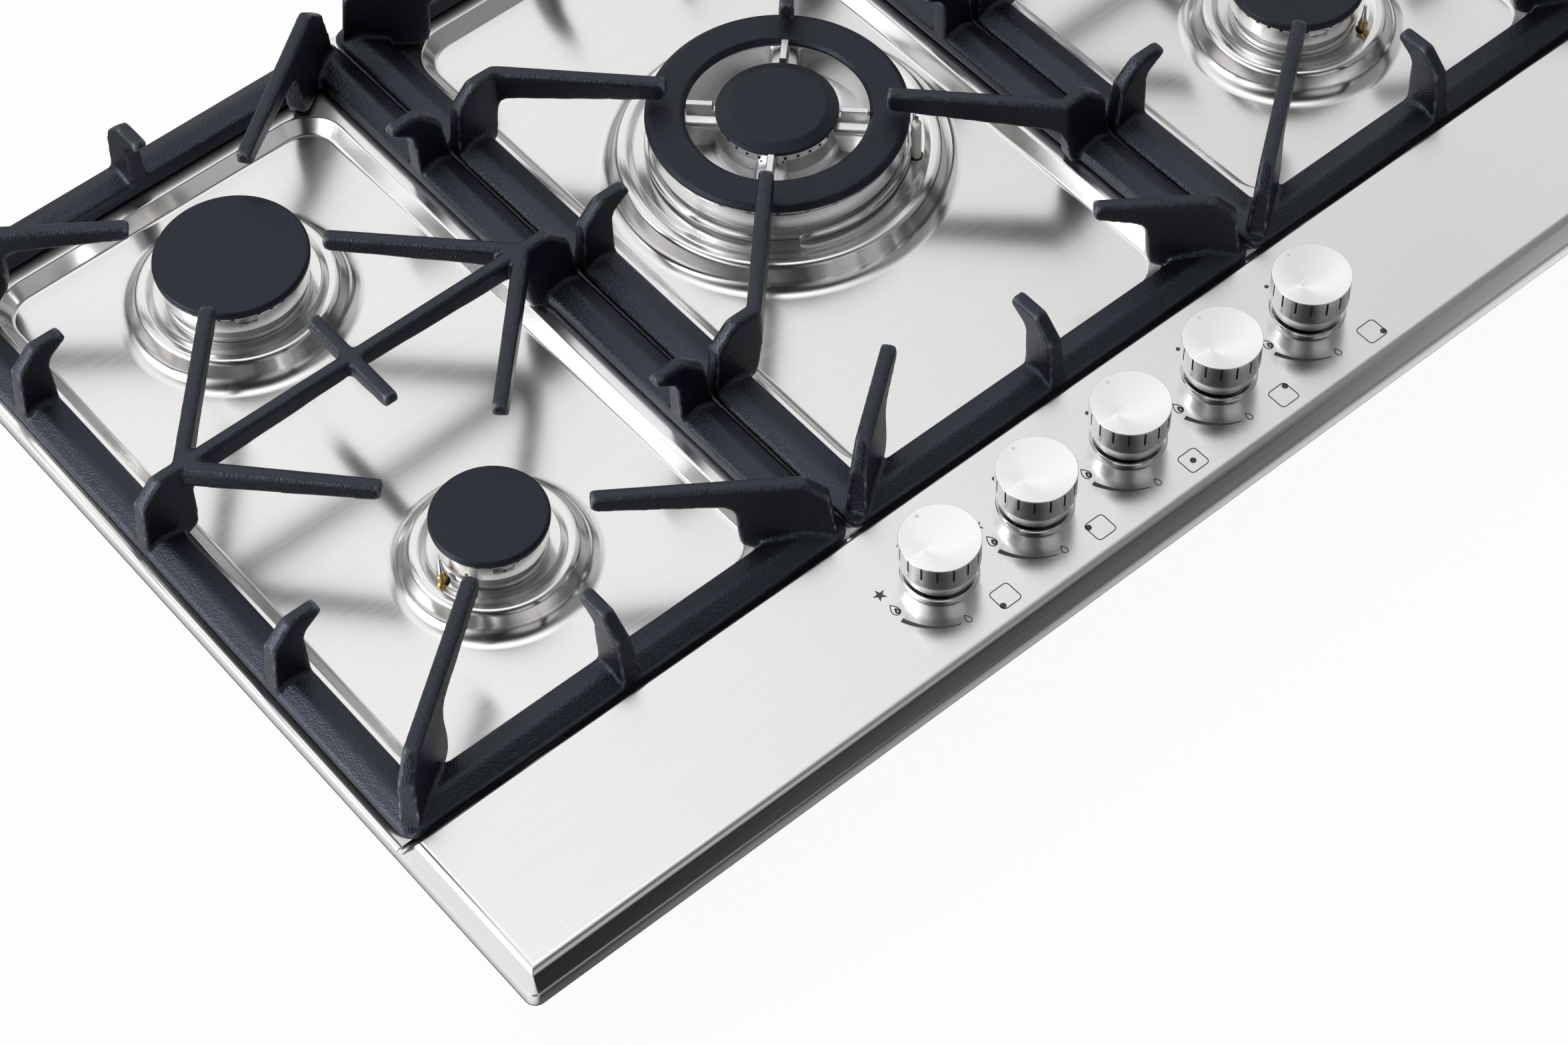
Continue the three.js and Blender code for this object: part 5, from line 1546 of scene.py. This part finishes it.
@dataclass
class PanSupport:
    """A cast pan support: a low frame of crested bars with fingers that grow out of it."""

    name: str
    centre: float
    column: float
    field_y: float = 45.0
    width: float = 254.0
    length: float = 414.0
    top: float = 53.0
    bar: float = 20.5
    tip_reach: float = 34.0
    row: float = 103.0
    finger_width: float = 7.4
    grain: float = 1.15  # size of the melt's cells
    bracket: float = 29.0  # from the frame's side to where the fingers branch or bend
    skin: Skin = field(default_factory=Skin)

    @property
    def ends(self) -> Plan:
        """The frame's front and rear edge along Y."""
        return (self.field_y - self.length / 2, self.field_y + self.length / 2)

    @property
    def sides(self) -> Plan:
        """The frame's left and right edge along X."""
        return (self.centre - self.width / 2, self.centre + self.width / 2)

    def build(self) -> None:
        """Builds all the metal, melts it into one casting and dresses it."""
        self.frame_bars()
        self.fingers()
        rough = self.skin.mesh(self.name)
        carrier = bpy.data.objects.new(self.name, rough)
        bpy.context.scene.collection.objects.link(carrier)
        melt = carrier.modifiers.new("melt", "REMESH")
        melt.mode = "VOXEL"
        melt.voxel_size = self.grain / 1000
        melt.use_smooth_shade = True
        soften = carrier.modifiers.new("soften", "SMOOTH")
        soften.factor = 0.5
        soften.iterations = 3
        thin = carrier.modifiers.new("thin", "DECIMATE")
        thin.ratio = 0.5
        mesh = evaluated(carrier)
        mesh.name = self.name
        mark_edges(mesh)
        mesh.shade_smooth()
        piece(
            f"casting_{self.name}", mesh, IRON, f"support_{self.name}",
            replaces=(f"pan_support_{self.name}",),
        )

    def frame_bars(self) -> None:
        """The four bars, with a crest along them, on four feet."""
        x0, x1 = self.sides
        y0, y1 = self.ends
        inner = self.bar
        section = [
            (1.2, 8.0), (0.3, 9.0), (0.0, 12.8), (0.9, 14.3), (8.6, 17.9), (10.2, 18.1), (12.0, 17.7),
            (inner - 1.0, 15.9), (inner, 14.9), (inner + 0.5, 9.0), (inner - 0.4, 8.0),
        ]
        rows = []
        for inset, z in section:
            box = (x0 + inset, x1 - inset, y0 + inset, y1 - inset)
            rows.append(self.skin.ring(outline(box, 7.0 - 0.12 * inset, 5), z))
        self.skin.rows(rows, looped=True)
        for x in (x0 + inner / 2, x1 - inner / 2):
            for y in (y0 + inner / 2, y1 - inner / 2):
                self.skin.turned([(0.0, 7.3), (4.2, 7.3), (5.0, 8.0), (5.0, 12.0), (0.0, 12.0)], (x, y), 16)

    def blade(self, path: Sequence[Plan], stations: Sequence[Station], lean: float = 0.055) -> None:
        """Adds an upright blade of metal along a path.

        Args:
            path: the blade's middle line in plan.
            stations: (run, underside, top) along the path.
            lean: how much wider it gets for each millimetre further down.
        """
        points = [Vector(p) for p in path]
        steps = [b - a for a, b in zip(points, points[1:])]
        marks = [0.0]
        for step in steps:
            marks.append(marks[-1] + step.length)
        rows = []
        for run, low, high in stations:
            k = max(i for i in range(len(steps)) if run >= marks[i] or i == 0)
            along = steps[k].normalized()
            here = points[k] + along * (run - marks[k])
            heading = along.copy()
            for i in range(1, len(steps)):
                gap = run - marks[i]
                if abs(gap) < 7.0:
                    a, b = steps[i - 1].normalized(), steps[i].normalized()
                    heading = a.lerp(b, 0.5 + gap / 14.0).normalized()
            side = Vector((-heading.y, heading.x))
            half = self.finger_width / 2
            wide = half + lean * (self.top - low) / 2
            near = half + lean * (self.top - high) / 2
            soft = min(1.5, (high - low) / 3)
            section = [
                (-wide, low + soft * 0.4), (-near, high - soft), (-near + 1.3, high), (near - 1.3, high),
                (near, high - soft), (wide, low + soft * 0.4), (wide - 1.0, low), (-wide + 1.0, low),
            ]
            rows.append([self.skin.corner(*(here + side * across), z) for across, z in section])
        self.skin.capped(rows)

    def root(self) -> list[Station]:
        """How a web rises from the bar's outer edge."""
        return [
            (0.2, WEB_FOOT, 11.0), (4.0, WEB_FOOT, self.top - 11.0), (14.5, WEB_FOOT, self.top - 0.4),
            (16.0, WEB_FOOT, self.top),
        ]

    def tip(self, length: float, depth: float) -> list[Station]:
        """The blunt end of a finger."""
        under = self.top - depth
        return [(length - 1.6, under, self.top), (length + 0.2, under + 1.2, self.top - 0.3),
                (length + 0.8, under + 2.4, self.top - 2.2)]

    def finger(self, path: Sequence[Plan], root: float, tip: float, depth: float) -> None:
        """A finger with its own web: leaning root, undercut, tapering beam and tip.

        Args:
            path: its middle line in plan.
            root: length of the web along the bar.
            tip: depth of metal at the tip.
            depth: depth of metal where the beam leaves the web.
        """
        length = run_length(path)
        under = self.top - depth
        stations = self.root() + [
            (root - 6.0, WEB_FOOT, self.top), (root - 1.5, 12.0, self.top), (root, 17.0, self.top),
            (root + 1.2, under - 5.0, self.top), (root + 3.6, under - 1.6, self.top),
            (root + 7.0, under, self.top),
        ]
        self.blade(path, stations + self.tip(length, tip))

    def beam(self, path: Sequence[Plan], tip: float, depth: float) -> None:
        """A finger that leaves another one, with no web of its own."""
        length = (Vector(path[-1]) - Vector(path[0])).length
        self.blade(path, [(0.0, self.top - depth, self.top), *self.tip(length, tip)])

    def stub(self, start: Plan, towards: Plan) -> None:
        """A short upright on a bar, with an overhanging tip."""
        end = (start[0] + towards[0] * STUB_REACH, start[1] + towards[1] * STUB_REACH)
        top = self.top
        self.blade([start, end], self.root() + [
            (18.5, WEB_FOOT, top), (20.3, 12.5, top), (20.8, top - 15.0, top), (22.4, top - 11.0, top),
            (29.4, top - 6.2, top), (STUB_REACH, top - 5.2, top - 0.3), (31.8, top - 4.0, top - 2.0),
        ])

    def fingers(self) -> None:
        """Adds the fingers; each form of support has its own."""
        raise NotImplementedError


@dataclass
class OuterSupport(PanSupport):
    """A support over two burners: long corner fingers and a cross bar with forks."""


    def fingers(self) -> None:
        """Corner fingers, forks, cross bar and stubs."""
        y0, y1 = self.ends
        for sx, edge in zip((-1, 1), self.sides):
            for sy, end in zip((-1, 1), (y0, y1)):
                burner = self.field_y + sy * self.row
                corner = (edge - sx * CORNER_INSET, end - sy * CORNER_INSET)
                tip = (self.column + sx * self.tip_reach, burner + sy * self.tip_reach)
                self.finger([corner, tip], CORNER_WEB, TIP_DEPTH, ROOT_DEPTH)
                fork = (edge - sx * self.bracket, self.field_y)
                inner = (self.column + sx * self.tip_reach, burner - sy * self.tip_reach)
                self.beam([fork, inner], TIP_DEPTH, 12.0)
                self.stub((edge, burner), (-sx, 0))
            self.finger(
                [(edge, self.field_y), (self.column, self.field_y)], self.bracket + 1.5, TIP_DEPTH, 12.0,
            )
        for sy, end in zip((-1, 1), (y0, y1)):
            self.stub((self.column, end), (0, -sy))
            self.beam([(self.column, self.field_y), (self.column, self.field_y + sy * STUB_REACH)], 7.8, 9.8)


@dataclass
class MiddleSupport(PanSupport):
    """The support over the wok burner: four bent fingers and four short ones."""

    wok_reach: float = 39.0

    def fingers(self) -> None:
        """Bent fingers, short corner fingers and stubs."""
        top = self.top
        for sx, edge in zip((-1, 1), self.sides):
            for sy, end in zip((-1, 1), self.ends):
                root = self.field_y + sy * (self.row - 2.0)
                path = [
                    (edge, root), (edge - sx * self.bracket, root),
                    (sx * self.wok_reach, self.field_y + sy * self.wok_reach),
                ]
                length = run_length(path)
                self.blade(path, self.root() + [
                    (22.0, WEB_FOOT, top), (25.0, 10.5, top), (27.0, 17.0, top), (28.5, 27.0, top),
                    (31.0, 33.5, top),
                    (36.0, top - 17.0, top), *self.tip(length, 11.0),
                ])
                corner = (edge - sx * CORNER_INSET, end - sy * CORNER_INSET)
                slope = math.atan2(
                    sy * (self.tip_reach - self.length / 2 + self.row),
                    sx * (self.tip_reach - self.width / 2),
                )
                short = (corner[0] + SHORT_REACH * math.cos(slope), corner[1] + SHORT_REACH * math.sin(slope))
                self.finger([corner, short], CORNER_WEB, TIP_DEPTH, ROOT_DEPTH)
            self.stub((edge, self.field_y), (-sx, 0))
        for sy, end in zip((-1, 1), self.ends):
            self.stub((0.0, end), (0, -sy))


# ------------------------------------------------------------------ controls


@dataclass
class Knob:
    """A turned knob: top disc, grooved grip, rounded foot and the ring it stands over."""

    burner: Burner
    x: float
    y: float = KNOB_ROW
    panel: float = PANEL_TOP
    base: float = 23.1
    height: float = 22.0
    radius: float = 19.0
    neck: float = 16.2
    grooves: int = 16
    groove_length: float = 9.0
    groove_width: float = 1.05
    grip_height: float = 14.0
    boss: float = 7.0
    bore: float = 3.2
    mark_from_edge: float = 3.4

    @property
    def top(self) -> float:
        """Height of the knob's face."""
        return self.base + self.height

    def build(self) -> None:
        """Builds and dresses the knob and its ring."""
        name, centre = self.burner.name, (self.x, self.y)
        body, top, base = f"knob_{name}", self.top, self.base
        step = top - self.groove_length
        shell = lathe([
            (self.radius - 2.0, top - 0.6, 0.0), (self.radius - 1.2, top - 0.6, 0.0),
            (self.radius - 1.2, step, 0.0), (self.radius, step, 0.05),
            (self.radius, top - self.grip_height, 6.0), (self.neck + 0.6, base + 0.4, 2.5),
            (self.neck - 0.2, base - 0.9, 0.4),
            (self.neck - 2.4, base - 0.9, 0.0),
            (self.neck - 2.4, top - 5.0, 0.0), (self.boss, top - 5.0, 0.0), (self.boss, base, 0.0),
            (self.bore, base, 0.0), (self.bore, top - 5.8, 0.0), (0.0, top - 5.8, 0.0),
        ], centre, 128, steps=4)
        piece(
            f"knob_side_{name}", shell, TURNED, body, Lay.ROUND,
            centre, (f"knob_{name}",),
        )
        face = lathe([
            (0.0, top, 0.0), (self.radius - 0.02, top, 0.3), (self.radius - 0.02, top - 0.7, 0.06),
            (self.radius - 2.4, top - 0.7, 0.0), (0.0, top - 0.7, 0.0),
        ], centre, 128, steps=4)
        piece(f"face_{name}", face, FACED, body, Lay.ROUND, centre)
        grip = ToothedRing.mesh(
            f"grip_{name}", TURNED, Count=self.grooves, Radius=self.radius / 1000, Wall=0.0014,
            Height=(self.groove_length - 0.64) / 1000, Gap=self.groove_width / 1000, Edge=0.0,
            Turn=math.radians(2.0), Centre=metres(self.x, self.y, (top - 0.68 + step - 0.02) / 2),
        )
        piece(f"grip_{name}", grip, TURNED, body, Lay.ROUND, centre)
        # A dark ring behind the grip's gaps: painted shadow at the bottoms of the grooves.
        groove_shadow = Skin()
        groove_shadow.turned([
            (self.radius - 1.35, step + 0.1), (self.radius - 1.05, step + 0.1),
            (self.radius - 1.05, top - 0.65),
            (self.radius - 1.35, top - 0.65),
        ], centre, 96, looped=True)
        piece(f"grooves_{name}", groove_shadow, SHADOW, body)
        self.dot(body)
        ring = lathe([
            (17.35, self.panel - 0.4, 0.0), (18.6, self.panel - 0.4, 0.0), (18.35, 20.8, 0.5),
            (17.95, 21.6, 0.3),
            (17.45, 21.6, 0.2),
        ], centre, 96, steps=3, closed=True)
        piece(f"knob_ring_{name}", ring, BRIGHT, "hob")

    def dot(self, body: str) -> None:
        """The small sunk mark near the rear edge of the knob's face."""
        place = (self.x, self.y + self.radius - self.mark_from_edge)
        ring, dot = Skin(), Skin()
        ring.turned(rounded([
            (0.75, self.top - 0.3, 0.0), (1.35, self.top - 0.3, 0.0), (1.3, self.top, 0.1),
            (1.0, self.top + 0.02, 0.1), (0.75, self.top - 0.1, 0.0),
        ], steps=2, closed=True), place, 24, looped=True)
        dot.turned(
            [(0.0, self.top - 0.3), (0.8, self.top - 0.3), (0.8, self.top + 0.01), (0.0, self.top + 0.01)],
            place, 20,
        )
        name = self.burner.name
        piece(f"mark_ring_{name}", ring, BRIGHT, body)
        piece(f"mark_dot_{name}", dot, TUBE, body)


@dataclass
class PanelMarks:
    """The printed marks round the knobs: star, flames, tapering arc, dot and burner plan."""

    y: float = KNOB_ROW
    level: float = PANEL_TOP
    ink: float = 0.07
    line: float = 0.5
    skin: Skin = field(default_factory=Skin)

    @property
    def levels(self) -> Plan:
        """Underside and face of the ink."""
        return (self.level - 0.05, self.level + self.ink)

    def stroke(self, points: Sequence[Plan], widths: Sequence[float], closed: bool = False) -> None:
        """Adds a printed line of changing width.

        Args:
            points: the line's points.
            widths: its width at each point.
            closed: whether it runs back to its start.
        """
        rows, count = [], len(points)
        for i, point in enumerate(points):
            before = points[i - 1] if closed or i else point
            after = points[(i + 1) % count] if closed or i + 1 < count else point
            along = (Vector(after) - Vector(before)).normalized()
            side = Vector((-along.y, along.x)) * widths[i] / 2
            here = Vector(point)
            low, high = self.levels
            left, right = here + side, here - side
            rows.append([
                self.skin.corner(*left, low), self.skin.corner(*left, high),
                self.skin.corner(*right, high), self.skin.corner(*right, low),
            ])
        self.skin.rows(rows, looped=closed)
        if not closed:
            self.skin.face(rows[0])
            self.skin.face(rows[-1])

    def disc(self, centre: Plan, radius: float) -> None:
        """Adds a printed dot."""
        low, high = self.levels
        self.skin.turned([(0.0, low), (radius, low), (radius, high), (0.0, high)], centre, 20)

    def drop(self, centre: Plan, size: float, line: float) -> None:
        """Adds a flame outline: a drop with its point to the rear."""
        points = []
        for i in range(28):
            t = FULL_TURN * i / 28
            x = 0.40 * size * math.sin(t) * math.sin(t / 2)
            y = 0.5 * size * math.cos(t)
            points.append((centre[0] + x, centre[1] + y))
        self.stroke(points, [line] * len(points), closed=True)

    def star(self, centre: Plan, size: float) -> None:
        """Adds a solid five-pointed star."""
        points = []
        for i in range(10):
            reach = size if i % 2 == 0 else size * 0.4
            t = math.pi / 2 + i * math.pi / 5
            points.append((centre[0] + reach * math.cos(t), centre[1] + reach * math.sin(t)))
        low, high = (self.skin.ring(points, z) for z in self.levels)
        self.skin.strip(low, high)
        for row, z in zip((low, high), self.levels):
            self.skin.strip(row, [self.skin.corner(*centre, z)])

    def arc(self, x: float) -> None:
        """Adds the tapering arc from the large flame to the small one."""
        start, end = math.atan2(-9.0, -30.4), math.atan2(-28.0, -11.7)
        if end < start:
            end += FULL_TURN
        reach_a, reach_b = math.hypot(30.4, 9.0), math.hypot(11.7, 28.0)
        points, widths = [], []
        for i in range(25):
            s = i / 24
            t, reach = start + (end - start) * s, reach_a + (reach_b - reach_a) * s
            points.append((x + reach * math.cos(t), self.y + reach * math.sin(t)))
            widths.append(2.3 - 1.9 * s)
        self.stroke(points, widths)

    def plan(self, x: float, index: int) -> None:
        """Adds the outline of the hob with a dot where the knob's burner is."""
        cx, cy, half = x + 13.4, self.y - 29.6, 5.5
        points = outline((cx - half, cx + half, cy - half, cy + half), 1.9, 4)
        self.stroke(points, [self.line] * len(points), closed=True)
        dx, dy = ((-1, -1), (-1, 1), (0, 0), (1, 1), (1, -1))[index]
        self.disc((cx + dx * 4.3, cy + dy * 3.4), 1.6)

    def build(self, columns: Sequence[float]) -> None:
        """Builds the marks of all the knobs as one print."""
        for index, x in enumerate(columns):
            self.star((x - 29.0, self.y + 7.7), 3.5)
            self.drop((x - 29.2, self.y - 2.7), 6.4, self.line)
            self.drop((x - 28.7, self.y - 3.9), 2.6, 0.95)
            self.arc(x)
            self.drop((x - 7.5, self.y - 27.8), 4.4, self.line)
            self.plan(x, index)
            self.disc((x - 4.6, self.y + 22.8), 1.1)
        piece("panel_marks", self.skin, INK, "hob")


# ------------------------------------------------------------------ carried-over solids


@dataclass
class Undercarriage:
    """Dresses the solids under the pan that keep their CAD shape."""

    finishes: dict[str, Finish] = field(default_factory=lambda: {
        "burner_box": ZINC, "worktop_seal": FOAM, "gas_rail": TUBE, "gas_inlet_elbow": BRASS,
        "spark_unit": PLASTIC,
        "tap_body": BRASS, "tap_plug": BRASS, "tap_spindle": TUBE, "gas_pipe": TUBE,
    })

    def build(self) -> None:
        """Gives each carried-over node its finish."""
        for name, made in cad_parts.items():
            key = next((k for k in self.finishes if name == k or name.startswith(f"{k}_")), None)
            if key is None:
                continue
            made.data.materials.clear()
            made.data.materials.append(self.finishes[key].material())
            LOG.info("%s: keeps its shape, %s", name, self.finishes[key].name)


# ------------------------------------------------------------------ studio


@dataclass(frozen=True)
class SoftBox:
    """A soft patch of light in the surrounding, by direction and width in degrees."""

    towards: tuple[float, float, float]
    full: float
    fade: float
    strength: float


@dataclass
class Studio:
    """Pale floor, soft light and the camera at the photograph's angle."""

    camera_at: tuple[float, float, float] = (-0.75155, -0.91277, 1.40434)
    right: tuple[float, float, float] = (0.76646957, -0.64172414, -0.02673075)
    down: tuple[float, float, float] = (-0.53009799, -0.60854814, -0.59047886)
    ahead: tuple[float, float, float] = (0.36265759, 0.466754, -0.8066103)
    lens: float = 82.895
    base: float = 0.26
    boxes: tuple[SoftBox, ...] = (
        SoftBox((0.02, 0.62, 0.78), 16.0, 48.0, 0.84),
        SoftBox((-0.93, 0.22, 0.28), 14.0, 44.0, 1.3),
        SoftBox((0.9, 0.2, 0.35), 8.0, 40.0, 0.35),
        SoftBox((0.05, 0.05, 0.99), 8.0, 23.0, 0.75),
        SoftBox((0.67, 0.34, 0.66), 3.0, 11.0, 0.32),
    )
    shades: tuple[SoftBox, ...] = (
        SoftBox((-0.1, -0.98, 0.05), 26.0, 46.0, 0.85),
        SoftBox((-0.3, -0.52, 0.8), 20.0, 42.0, 0.97),
    )
    front: SoftBox = SoftBox((0.0, -0.9, 0.42), 14.0, 28.0, 0.5)

    def build(self) -> None:
        """Builds camera, world, lamps and floor."""
        self.camera()
        self.world()
        self.lamp("left strip", (-1.7, 0.5, 0.75), (0.0, 0.0, 0.0), (0.5, 1.4), 16.0)
        self.floor()
        view = bpy.context.scene.view_settings
        view.view_transform = "Standard"

    def camera(self) -> None:
        """Stands the camera where the photograph was taken."""
        data = bpy.data.cameras.new("camera")
        data.lens, data.sensor_width, data.sensor_fit = self.lens, 36.0, "HORIZONTAL"
        data.clip_start, data.clip_end = 0.05, 50.0
        made = bpy.data.objects.new("camera", data)
        axes = [Vector(self.right), -Vector(self.down), -Vector(self.ahead)]
        turn = Matrix(axes).transposed().to_4x4()
        made.matrix_world = Matrix.Translation(Vector(self.camera_at)) @ turn
        bpy.context.scene.collection.objects.link(made)
        bpy.context.scene.camera = made

    def patch(self, wires: Wiring, towards: Socket, box: SoftBox) -> Socket:
        """A soft round patch of the surrounding.

        Args:
            wires: the world's wiring.
            towards: the direction looked in.
            box: where the patch is, how wide and how strong.

        Returns:
            Its strength in that direction.
        """
        axis = tuple(Vector(box.towards).normalized())
        near = wires.node(
            "ShaderNodeVectorMath", {0: towards, 1: axis}, operation="DOT_PRODUCT",
        ).outputs["Value"]
        low, high = math.cos(math.radians(box.fade)), math.cos(math.radians(box.full))
        return wires.out(
            "ShaderNodeMapRange", {0: near, 1: low, 2: high, 3: 0.0, 4: box.strength},
            interpolation_type="SMOOTHSTEP",
        )

    def world(self) -> None:
        """A white surrounding for the camera; for light, soft boxes, shades and one box in front."""
        world = bpy.data.worlds.new("studio")
        world.use_nodes = True
        bpy.context.scene.world = world
        wires = Wiring(world.node_tree)
        for node in list(world.node_tree.nodes):
            world.node_tree.nodes.remove(node)
        towards = wires.node("ShaderNodeTexCoord").outputs["Generated"]
        total: object = self.base
        for box in self.boxes:
            total = wires.math("ADD", total, self.patch(wires, towards, box))
        for shade in self.shades:
            total = wires.math(
                "MULTIPLY", total, wires.math("SUBTRACT", 1.0, self.patch(wires, towards, shade)),
            )
        total = wires.math("ADD", total, self.patch(wires, towards, self.front))
        boxes = wires.out("ShaderNodeBackground", {"Color": (0.985, 0.99, 1.0, 1.0), "Strength": total})
        white = wires.out("ShaderNodeBackground", {"Color": (1.0, 1.0, 1.0, 1.0), "Strength": 1.0})
        camera = wires.node("ShaderNodeLightPath").outputs["Is Camera Ray"]
        final = wires.out("ShaderNodeMixShader", {0: camera, 1: boxes, 2: white})
        wires.node("ShaderNodeOutputWorld", {0: final})

    def lamp(
        self, name: str, place: Sequence[float], target: Sequence[float], size: Plan, power: float,
    ) -> None:
        """Adds a soft oblong lamp.

        Args:
            name: the lamp's name.
            place: where it hangs.
            target: what it points at.
            size: its width and depth in metres.
            power: its power in watts.
        """
        data = bpy.data.lights.new(name, "AREA")
        data.shape, data.size, data.size_y, data.energy = "RECTANGLE", size[0], size[1], power
        made = bpy.data.objects.new(name, data)
        aim = (Vector(target) - Vector(place)).to_track_quat("-Z", "Y")
        made.matrix_world = Matrix.Translation(Vector(place)) @ aim.to_matrix().to_4x4()
        bpy.context.scene.collection.objects.link(made)

    def floor(self) -> None:
        """A pale floor that the camera sees almost white, and that shiny pieces see dark in places."""
        mesh = bpy.data.meshes.new("floor")
        reach = 6.0
        mesh.from_pydata(
            [(-reach, -reach, 0), (reach, -reach, 0), (reach, reach, 0), (-reach, reach, 0)], [],
            [(0, 1, 2, 3)],
        )
        floor = bpy.data.objects.new("floor", mesh)
        bpy.context.scene.collection.objects.link(floor)
        made = bpy.data.materials.new("pale floor")
        made.use_nodes = True
        wires = Wiring(made.node_tree)
        shader = made.node_tree.nodes["Principled BSDF"]
        shader.inputs["Base Color"].default_value = (0.9, 0.9, 0.9, 1.0)
        shader.inputs["Roughness"].default_value = 0.8
        glow = wires.out("ShaderNodeEmission", {"Color": (1.0, 1.0, 1.0, 1.0), "Strength": 1.0})
        place = wires.node(
            "ShaderNodeSeparateXYZ", {0: wires.node("ShaderNodeTexCoord").outputs["Object"]},
        ).outputs
        near = wires.ranged(place[0], -0.35, 0.30, 0.12, 1.0)
        front = wires.math("MULTIPLY", near, wires.ranged(place[1], -0.37, -0.33, 0.01, 1.0))
        left = wires.ranged(place[0], -0.45, -0.39, 1.0, 0.0)
        right = wires.ranged(place[0], 0.15, 0.50, 0.0, 0.42)
        shade = wires.math("MAXIMUM", front, wires.math("MAXIMUM", left, right))
        mirror = wires.out("ShaderNodeEmission", {"Strength": shade})
        path = wires.node("ShaderNodeLightPath").outputs
        camera = wires.math("MULTIPLY", path["Is Camera Ray"], 0.95)
        glossy = wires.math("MAXIMUM", path["Is Glossy Ray"], path["Is Transmission Ray"])
        base = shader.outputs[0]
        lit = wires.out("ShaderNodeMixShader", {0: camera, 1: base, 2: glow})
        final = wires.out("ShaderNodeMixShader", {0: glossy, 1: lit, 2: mirror})
        wires.tree.links.new(final, made.node_tree.nodes["Material Output"].inputs[0])
        mesh.materials.append(made)


def main() -> None:
    """Builds the cooktop piece by piece, then the studio round it."""
    logging.basicConfig(level=logging.INFO, format="%(name)s: %(message)s")
    pan = TopPan()
    pan.build()
    for name, side in (("left", -1.0), ("right", 1.0)):
        OuterSupport(name, centre=side * 255.5, column=side * 257.0).build()
    MiddleSupport("centre", centre=0.0, column=0.0).build()
    for burner, x in zip(BURNERS, pan.knob_columns):
        if burner.name == "wok":
            WokBurner(burner).build()
        else:
            SingleBurner(burner).build()
        Probes(burner).build()
        Knob(burner, x).build()
    PanelMarks().build(pan.knob_columns)
    Undercarriage().build()
    Studio().build()


if __name__ == "__main__":
    main()
